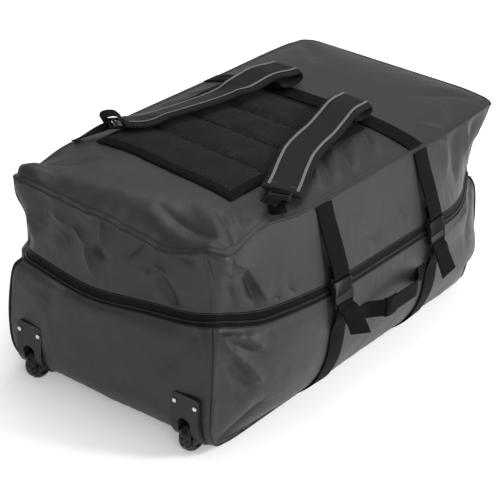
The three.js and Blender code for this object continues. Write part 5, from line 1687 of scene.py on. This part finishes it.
def shoulder_path(side):
    """Fine points along a shoulder strap, with its directions across and out of its outer face."""
    stops = shoulder_stops(side)
    sideways = top_point(stops[:, 0], stops[:, 1] + 5) - top_point(stops[:, 0], stops[:, 1] - 5)
    path, sideways = smooth_path(stops, 4.0, sideways)
    tangent = unit(np.gradient(path, axis=0))
    across = unit(sideways - (sideways * tangent).sum(1)[:, None] * tangent)
    outer = unit(np.cross(across, tangent))
    rolled = smoothstep(-path[:, 0], *ROLL_FADES_IN) * smoothstep(path[:, 0], *ROLL_FADES_OUT)
    roll = (max(side, 0) * LEFT_ROLL * rolled)[:, None]
    turned_across = across * np.cos(roll) - outer * np.sin(roll)
    return path, turned_across, outer * np.cos(roll) + across * np.sin(roll)


print("right strap's points:", len(shoulder_path(-1)[0]))

# %% [markdown]
# ## Shoulder straps
# The straps are long flat pads of cloth over foam, with mesh along their edges. A rounded section is
# carried along the route: full in the middle and pinched to thin sewn edges. A simulated pad would also
# sag into a fold, but not with the clean run that stiff foam gives.

# %% Shoulder strap pads
SHOULDER_WIDTH, SHOULDER_THICKNESS, SHOULDER_SIDES, MESH_EDGE = 78.0, 15.0, 40, 0.74


def shoulder_section(angle):
    """The strap's rounded section: full in the middle, with thin sewn edges."""
    aside = np.sign(np.cos(angle)) * np.abs(np.cos(angle)) ** 0.55
    rise = np.sign(np.sin(angle)) * np.abs(np.sin(angle)) ** 0.6
    rise *= 1 - 0.42 * np.abs(aside) ** 5 - 0.14 * np.exp(-(((np.abs(aside) - 0.62) / 0.09) ** 2))
    return aside * SHOULDER_WIDTH / 2, rise * SHOULDER_THICKNESS / 2


def shoulder_strap(name, path, across, outer):
    columns = len(path) - 1

    def place(s, t):
        index = np.rint(s * columns).astype(int)
        aside, rise = shoulder_section(t * 2 * np.pi)
        rounded = np.minimum(1, np.minimum(s, 1 - s) * columns / 2.2 + 0.45)
        points = path[index] + across[index] * aside[:, None]
        dents = 0.8 * crumple(points, 26.0, 23.0) * (np.abs(rise) > 2)
        return points + outer[index] * (rise * rounded + dents)[:, None]

    strap = cloth_grid(name, columns, SHOULDER_SIDES, place)
    closed_round(strap)
    smooth(strap, 60)
    return strap


def mesh_edges(strap):
    """Gives the spacer mesh to the faces along the strap's two edges, found by their UV."""
    strap.data.materials.append(pad_mesh)
    uv = strap.data.uv_layers[0].data
    for face in strap.data.polygons:
        share = sum(uv[k].uv[1] for k in face.loop_indices) / face.loop_total / strap["cut"][1]
        aside, _ = shoulder_section(np.array(share * 2 * np.pi))
        face.material_index = int(abs(aside) > MESH_EDGE * SHOULDER_WIDTH / 2)


for side_name, side in SIDE_OF.items():
    strap = shoulder_strap(f"padded_strap_{side_name}", *shoulder_path(side))
    finished(strap, strap_cloth, "webbing", f"shoulder_strap_{side_name}")
    mesh_edges(strap)

# %% [markdown]
# ## Strap trim
# Two pale tapes run along each strap, and a bar of stitches crosses it near its end. They are thin pieces
# of webbing, laid on the pad's outer face with the same directions as the pad.

# %% Strap trim
TRIM_ASIDE, TRIM_WIDTH, TRIM_THICKNESS, TRIM_SPACING, TRIM_RUN = 27.0, 5.5, 1.0, 8.0, slice(16, -2)
BAR_FROM_END, BAR_STOPS, STITCH_BAR_WIDTH = 6, 9, 2.6
face_rise = SHOULDER_THICKNESS / 2
for side_name, side in SIDE_OF.items():
    path, across, outer = shoulder_path(side)
    for trim_name, aside in (("inner", -side * TRIM_ASIDE), ("outer", side * TRIM_ASIDE)):
        line = (path + across * aside + outer * (face_rise - 0.2))[TRIM_RUN]
        trim_of = f"strap_trim_{side_name}_{trim_name}"
        tape = webbing(trim_of, line, across[TRIM_RUN], TRIM_WIDTH, TRIM_THICKNESS, TRIM_SPACING)
        trimmed(tape, trim_grey)
    k = -BAR_FROM_END
    reach = np.linspace(-TRIM_ASIDE, TRIM_ASIDE, BAR_STOPS)[:, None]
    bar_line = path[k] + across[k] * reach + outer[k] * (face_rise - 0.4)
    along = np.tile(path[-1] - path[k], (BAR_STOPS, 1))
    bar_of = f"strap_stitch_bar_{side_name}"
    trimmed(webbing(bar_of, bar_line, along, STITCH_BAR_WIDTH, TRIM_THICKNESS, TRIM_SPACING), stitch_grey)
print("trim tapes and bars:", 3 * len(SIDE_OF))

# %% [markdown]
# ## Strap adjusters
# A ladder buckle ends each shoulder strap. It is a flat block, inset on both faces, with two windows cut
# through it that leave bars for the webbing to turn round.

# %% Strap adjuster
ADJUSTER = {"length": 26.0, "width": 42.0, "thickness": 6.0, "slot": 7.0, "bar": 4.0}
NARROW_WEBBING = 30.0
adjuster_half, adjuster_thick = ADJUSTER["width"] / 2, ADJUSTER["thickness"] / 2
adjuster_end = GAP + ADJUSTER["length"]
low = (GAP, -adjuster_half, -adjuster_thick)
adjuster = local_block("adjuster", low, (adjuster_end, adjuster_half, adjuster_thick))
inset_faces(adjuster, lambda centre, normal: abs(normal[2]) > 0.9, 2.6, -0.6)
window_end, window_half = adjuster_end - ADJUSTER["bar"], NARROW_WEBBING / 2 + 1.5
for stop in (window_end, window_end - ADJUSTER["slot"] - 5):
    window = local_block("window", (stop - ADJUSTER["slot"], -window_half, -9), (stop, window_half, 9))
    combine(adjuster, window, "DIFFERENCE")
round_edges(adjuster, 0.8, 2, 40)
smooth(adjuster, 35)
print("adjuster:", len(adjuster.data.polygons), "faces")

# %% [markdown]
# ## Webbing through the adjusters
# The webbing comes up from the side seam, turns round the adjuster's bar and ends in a short free tail.
# The right tail lies flat, and the left one curls back over itself, as loose ends do.

# %% Adjusters and their webbing
TAIL_ENDS = {
    "right": [(22, 4, 12), (42, 12, 7)],
    "left": [(15, 0, 10), (14, 0, 17), (2, 1, 21), (-13, 2, 19), (-25, 3, 9)],
}
ANCHOR_X, ANCHOR_INSET, ANCHOR_RISE = -292.0, 8, 5.0


def adjuster_frame(side):
    """The strap's end, and the directions along it, across it and up from it."""
    stops = shoulder_stops(side)
    along = unit(stops[-1] - stops[-2])
    across = unit(np.cross(along, (0.0, 0.0, 1.0)))
    return stops[-1], along, across, unit(np.cross(across, along))


def shoulder_webbing(side):
    end, along, across, up = adjuster_frame(side)
    bar = adjuster_end - 2
    around = math.hypot(2, adjuster_thick) + GAP + WEBBING_THICKNESS / 2
    angles = np.linspace(-np.pi / 2, np.pi / 2, 7)
    turn = [(bar - around * math.cos(a), 0, around * math.sin(a)) for a in angles]
    run_in = [(bar + 13, 0, -around - 3), (bar + 4, 0, -around)]
    tail = TAIL_ENDS["left" if side > 0 else "right"]
    tail = [(bar + 6, 0, around + 1.5), *((bar + s, a, n) for s, a, n in tail)]
    stops = [end + along * s + across * a + up * n for s, a, n in (*run_in, *turn, *tail)]
    anchor_y = side * (float(seam_reach(ANCHOR_X, side)) - ANCHOR_INSET)
    anchor = top_point(ANCHOR_X, anchor_y, ANCHOR_RISE)
    return [anchor, *stops], [np.array((side, 0.0, -0.1))] + [across] * len(stops)


for side_name, side in SIDE_OF.items():
    end, along, across, up = adjuster_frame(side)
    turn = Matrix((along, -across, up)).transposed().to_4x4()
    ladder = copy_at(adjuster, f"ladder_{side_name}", Matrix.Translation(placed(end)) @ turn)
    finished(ladder, plastic, "plastic", f"shoulder_adjuster_{side_name}")
    strap = webbing(f"strap_end_{side_name}", *shoulder_webbing(side), NARROW_WEBBING, spacing=2.0)
    finished(strap, webbing_black, "webbing", f"shoulder_webbing_{side_name}")
bpy.data.objects.remove(adjuster)

# %% [markdown]
# ## Grab handle
# The handle is webbing sewn down at both ends and standing off the side between them, so that a hand
# goes under it, with a short sleeve of the same webbing round its middle.

# %% Grab handle
HANDLE = {"start": -104.0, "end": 130.0, "z": 184.0, "width": 36.0, "stand": 26.0, "sleeve": (-46.0, -14.0)}
HANDLE_SEAT, HANDLE_STOPS, SLEEVE_STOPS, SLEEVE_THICKNESS = 1.2, 25, 9, 1.8


def handle_stop(x):
    t = (x - HANDLE["start"]) / (HANDLE["end"] - HANDLE["start"])
    rise = float(smoothstep(t, 0.08, 0.3) * smoothstep(1 - t, 0.08, 0.3))
    lift = HANDLE_SEAT + HANDLE["stand"] * rise
    return np.array((x, -(wall_out(x, HANDLE["z"], -1) + lift), HANDLE["z"]))


upright = np.array((0.0, 0.0, 1.0))
handle_stops = np.array([handle_stop(x) for x in np.linspace(HANDLE["start"], HANDLE["end"], HANDLE_STOPS)])
handle = webbing("carry_webbing", handle_stops, [upright] * HANDLE_STOPS, HANDLE["width"], spacing=3.0)
finished(handle, webbing_black, "webbing", "grab_handle_webbing")

sleeve_stops = np.array([handle_stop(x) for x in np.linspace(*HANDLE["sleeve"], SLEEVE_STOPS)])


def around_sleeve(s, t):
    index = np.rint(s * (SLEEVE_STOPS - 1)).astype(int)
    angle = t * 2 * np.pi
    rise = np.sign(np.sin(angle)) * np.abs(np.sin(angle)) ** 0.35 * (HANDLE["width"] / 2 + 2.4)
    out = np.sign(np.cos(angle)) * np.abs(np.cos(angle)) ** 0.5 * 3.9
    return sleeve_stops[index] + np.stack([0 * out, out, rise], -1)


sleeve = cloth_grid("carry_sleeve", SLEEVE_STOPS - 1, 40, around_sleeve)
closed_round(sleeve, fill=False)
thicken(sleeve, SLEEVE_THICKNESS)
smooth(sleeve, 50)
finished(sleeve, webbing_black, "webbing", "grab_handle_sleeve")

# %% [markdown]
# ## Wheels
# A wheel is a short cylinder: its faces are inset for the rim and the hub, its edges are rounded, and
# blocks cut the tread. Spokes are joined on in the recess. It is modelled once, turning about the
# Y axis, and copied to both sides.

# %% Wheels
TREADS, SPOKES, AXLE_RADIUS, TYRE_ROUND = 16, 6, 4.0, 9.5
TREAD_ROWS, TREAD_TILT, GROOVE_DEPTH, GROOVE_REACH, GROOVE_HALF = 3, math.radians(46), 1.7, 4.6, 1.5
half_width = WHEEL_WIDTH / 2
wheel = local_rod("wheel", WHEEL_RADIUS, (0, -half_width, 0), (0, half_width, 0), 64)


def mid_face(centre, normal):
    return abs(normal[1]) > 0.9 and math.hypot(centre[0], centre[2]) < 1


round_edges(wheel, TYRE_ROUND, 6, 50)
inset_faces(wheel, mid_face, 1.2, 0.0)
inset_faces(wheel, mid_face, 0.8, -4.5)
inset_faces(wheel, mid_face, 10.0, 0.0)
inset_faces(wheel, mid_face, 0.8, 4.5)
for k in range(TREADS * TREAD_ROWS):
    turn, row = divmod(k, TREAD_ROWS)
    tilt = (row - 1) * TREAD_TILT
    middle = Vector((WHEEL_RADIUS - TYRE_ROUND, (row - 1) * (half_width - TYRE_ROUND), 0)) * MM
    angle = (turn + 0.25 * row) / TREADS * 2 * math.pi
    low = (TYRE_ROUND - GROOVE_DEPTH, -GROOVE_REACH, -GROOVE_HALF)
    groove = local_block("groove", low, (TYRE_ROUND + 4, GROOVE_REACH, GROOVE_HALF))
    groove.data.transform(Matrix.Translation(middle) @ Matrix.Rotation(tilt, 4, "Z"))
    groove.data.transform(Matrix.Rotation(angle, 4, "Y"))
    combine(wheel, groove, "DIFFERENCE")
for k in range(SPOKES):
    spoke = local_block("spoke", (9, -half_width + 1.5, -1.9), (23.5, half_width - 1.5, 1.9))
    spoke.data.transform(Matrix.Rotation(k / SPOKES * 2 * math.pi, 4, "Y"))
    combine(wheel, spoke, "UNION")
bore = local_rod("bore", AXLE_RADIUS + GAP, (0, -20, 0), (0, 20, 0), 32)
combine(wheel, bore, "DIFFERENCE")
smooth(wheel, 35)
print("wheel:", len(wheel.data.polygons), "faces")

# %% Wheels in their places
for side_name, side in SIDE_OF.items():
    place = placed((WHEEL_X, side * WHEEL_Y, WHEEL_RADIUS))
    turned = copy_at(wheel, f"tread_wheel_{side_name}", Matrix.Translation(place))
    finished(turned, rubber, "rubber", f"wheel_{side_name}", body=f"wheel_{side_name}")
bpy.data.objects.remove(wheel)

# %% [markdown]
# ## Wheel housings
# A moulded housing guards each wheel and the corner of the bag. Its solid already has the right shape, so
# a copy of that is merged and its edges are rounded, and only the arched slot for the wheel is cut anew.

# %% Housings
def rounded_copy(name, source, width, segments=2):
    made = copy_at(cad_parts[source], name, Matrix.Identity(4))
    made.parent = None
    made.matrix_world = Matrix.Identity(4)
    only(made)
    bpy.ops.object.mode_set(mode="EDIT")
    bpy.ops.mesh.select_all(action="SELECT")
    bpy.ops.mesh.remove_doubles(threshold=1e-5)
    bpy.ops.mesh.dissolve_limited(angle_limit=math.radians(2))
    bpy.ops.object.mode_set(mode="OBJECT")
    round_edges(made, width, segments, 40)
    return made


SLOT_HALF, SLOT_FOOT, SLOT_SPRING = 14.2, 20, 66
SLOT_FROM, SLOT_TO = HOUSING_FRONT - 6, HOUSING_FRONT + 14
for side_name, side in SIDE_OF.items():
    housing = rounded_copy(f"corner_housing_{side_name}", f"wheel_housing_{side_name}", 1.0)
    y = side * WHEEL_Y
    low, high = (SLOT_FROM, y - SLOT_HALF, SLOT_FOOT), (SLOT_TO, y + SLOT_HALF, SLOT_SPRING)
    slot = block("slot", low, high)
    combine(housing, slot, "DIFFERENCE")
    arch_ends = [tuple(placed((x, y, SLOT_SPRING)) / MM) for x in (SLOT_FROM, SLOT_TO)]
    combine(housing, local_rod("arch", SLOT_HALF, *arch_ends, 40), "DIFFERENCE")
    smooth(housing, 35)
    apply_modifier(housing, "WEIGHTED_NORMAL", weight=100, keep_sharp=True)
    finished(housing, housing_plastic, "plastic", f"wheel_housing_{side_name}")

# %% [markdown]
# ## Rivets, axles and zip slider
# Two rivets hold each housing: short rods whose heads are inset and rounded. The axles stay as the solids
# made them and only get their metal. The slider is a rounded copy, like the housings.

# %% Rivets, axles and slider
RIVET_Z, RIVET_SPREAD, RIVET_RADIUS, RIVET_HEIGHT = 110, 23, 4.5, 2.4
rivet = local_rod("rivet", RIVET_RADIUS, (0, 0, 0), (-RIVET_HEIGHT, 0, 0), 28)
inset_faces(rivet, lambda centre, normal: normal[0] < -0.9, 1.6, 0.0)
round_edges(rivet, 1.1, 4, 50)
smooth(rivet, 40)
for side_name, side in SIDE_OF.items():
    for rivet_name, aside in (("inner", -side), ("outer", side)):
        place = (HOUSING_FRONT - GAP, side * WHEEL_Y + aside * RIVET_SPREAD, RIVET_Z)
        head = copy_at(rivet, f"rivet_head_{side_name}_{rivet_name}", Matrix.Translation(placed(place)))
        finished(head, metal, "metal", f"rivet_{side_name}_{rivet_name}")
    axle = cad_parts[f"wheel_axle_{side_name}"]
    axle.data.materials.clear()
    axle.data.materials.append(metal)
bpy.data.objects.remove(rivet)
slider = rounded_copy("zip_pull", "zip_slider", 0.7)
smooth(slider, 35)
finished(slider, metal, "metal", "zip_slider")

# %% [markdown]
# ## The cloth's cut sizes
# Every panel of cloth was cut flat before it was sewn and stuffed. Its size is measured along the
# middle of the finished panel, when its grid is made.


# %% [markdown]
# ## Floor, light and background
# A big pale floor that glows a little, and three soft area lights: a broad one overhead, a key light on
# the camera's right, and a weak fill, so that the wheel end stays darker than the long side. The floor's
# glow is painted light: it is no lamp, but it lightens the bag's shadow on the floor.

# %% Stage
nothing_selected()
bpy.ops.mesh.primitive_plane_add(size=30, location=(0, 0, -0.0005))
floor = bpy.context.object
floor.name = "floor"
# painted light: the floor glows though it is no lamp, which lightens the bag's shadow on it and the bag's
# underside
painted_floor_glow = {"Emission_Color": (1, 1, 1, 1), "Emission_Strength": 0.3}
floor_white, tree, shader = new_finish("pale_floor_with_painted_glow", 0.9, **painted_floor_glow)
cloud = node(tree, "TexNoise", None, Vector=node(tree, "TexCoord")["Object"], Scale=0.6)["Fac"]
two_tone(tree, shader, cloud, (0.90, 0.90, 0.90), (0.94, 0.94, 0.94))
floor.data.materials.append(floor_white)
print("stage:", floor.name)

# %% Lights and background
# name, place, aim, size and power
LIGHTS = [
    ("overhead", (0.6, 0.3, 3.2), (0, 0, 0.3), 2.0, 58),
    ("key", (1.5, -3.1, 2.2), (0, 0, 0.2), 1.0, 107),
    ("fill", (-2.5, -2.7, 1.9), (0, 0, 0.2), 1.2, 34),
]
for name, place, aim, size, power in LIGHTS:
    bpy.ops.object.light_add(type="AREA", location=place)
    lamp = bpy.context.object
    lamp.name = name
    lamp.data.size = size
    lamp.data.energy = power
    lamp.rotation_euler = (Vector(aim) - Vector(place)).to_track_quat("-Z", "Y").to_euler()

WORLD_LIGHT = 0.42
world = bpy.context.scene.world or bpy.data.worlds.new("studio")
bpy.context.scene.world = world
world.use_nodes = True
world.node_tree.nodes["Background"].inputs["Color"].default_value = (1, 1, 1, 1)
world.node_tree.nodes["Background"].inputs["Strength"].default_value = WORLD_LIGHT
bpy.context.scene.view_settings.view_transform = "Standard"
print("lights:", len(LIGHTS))
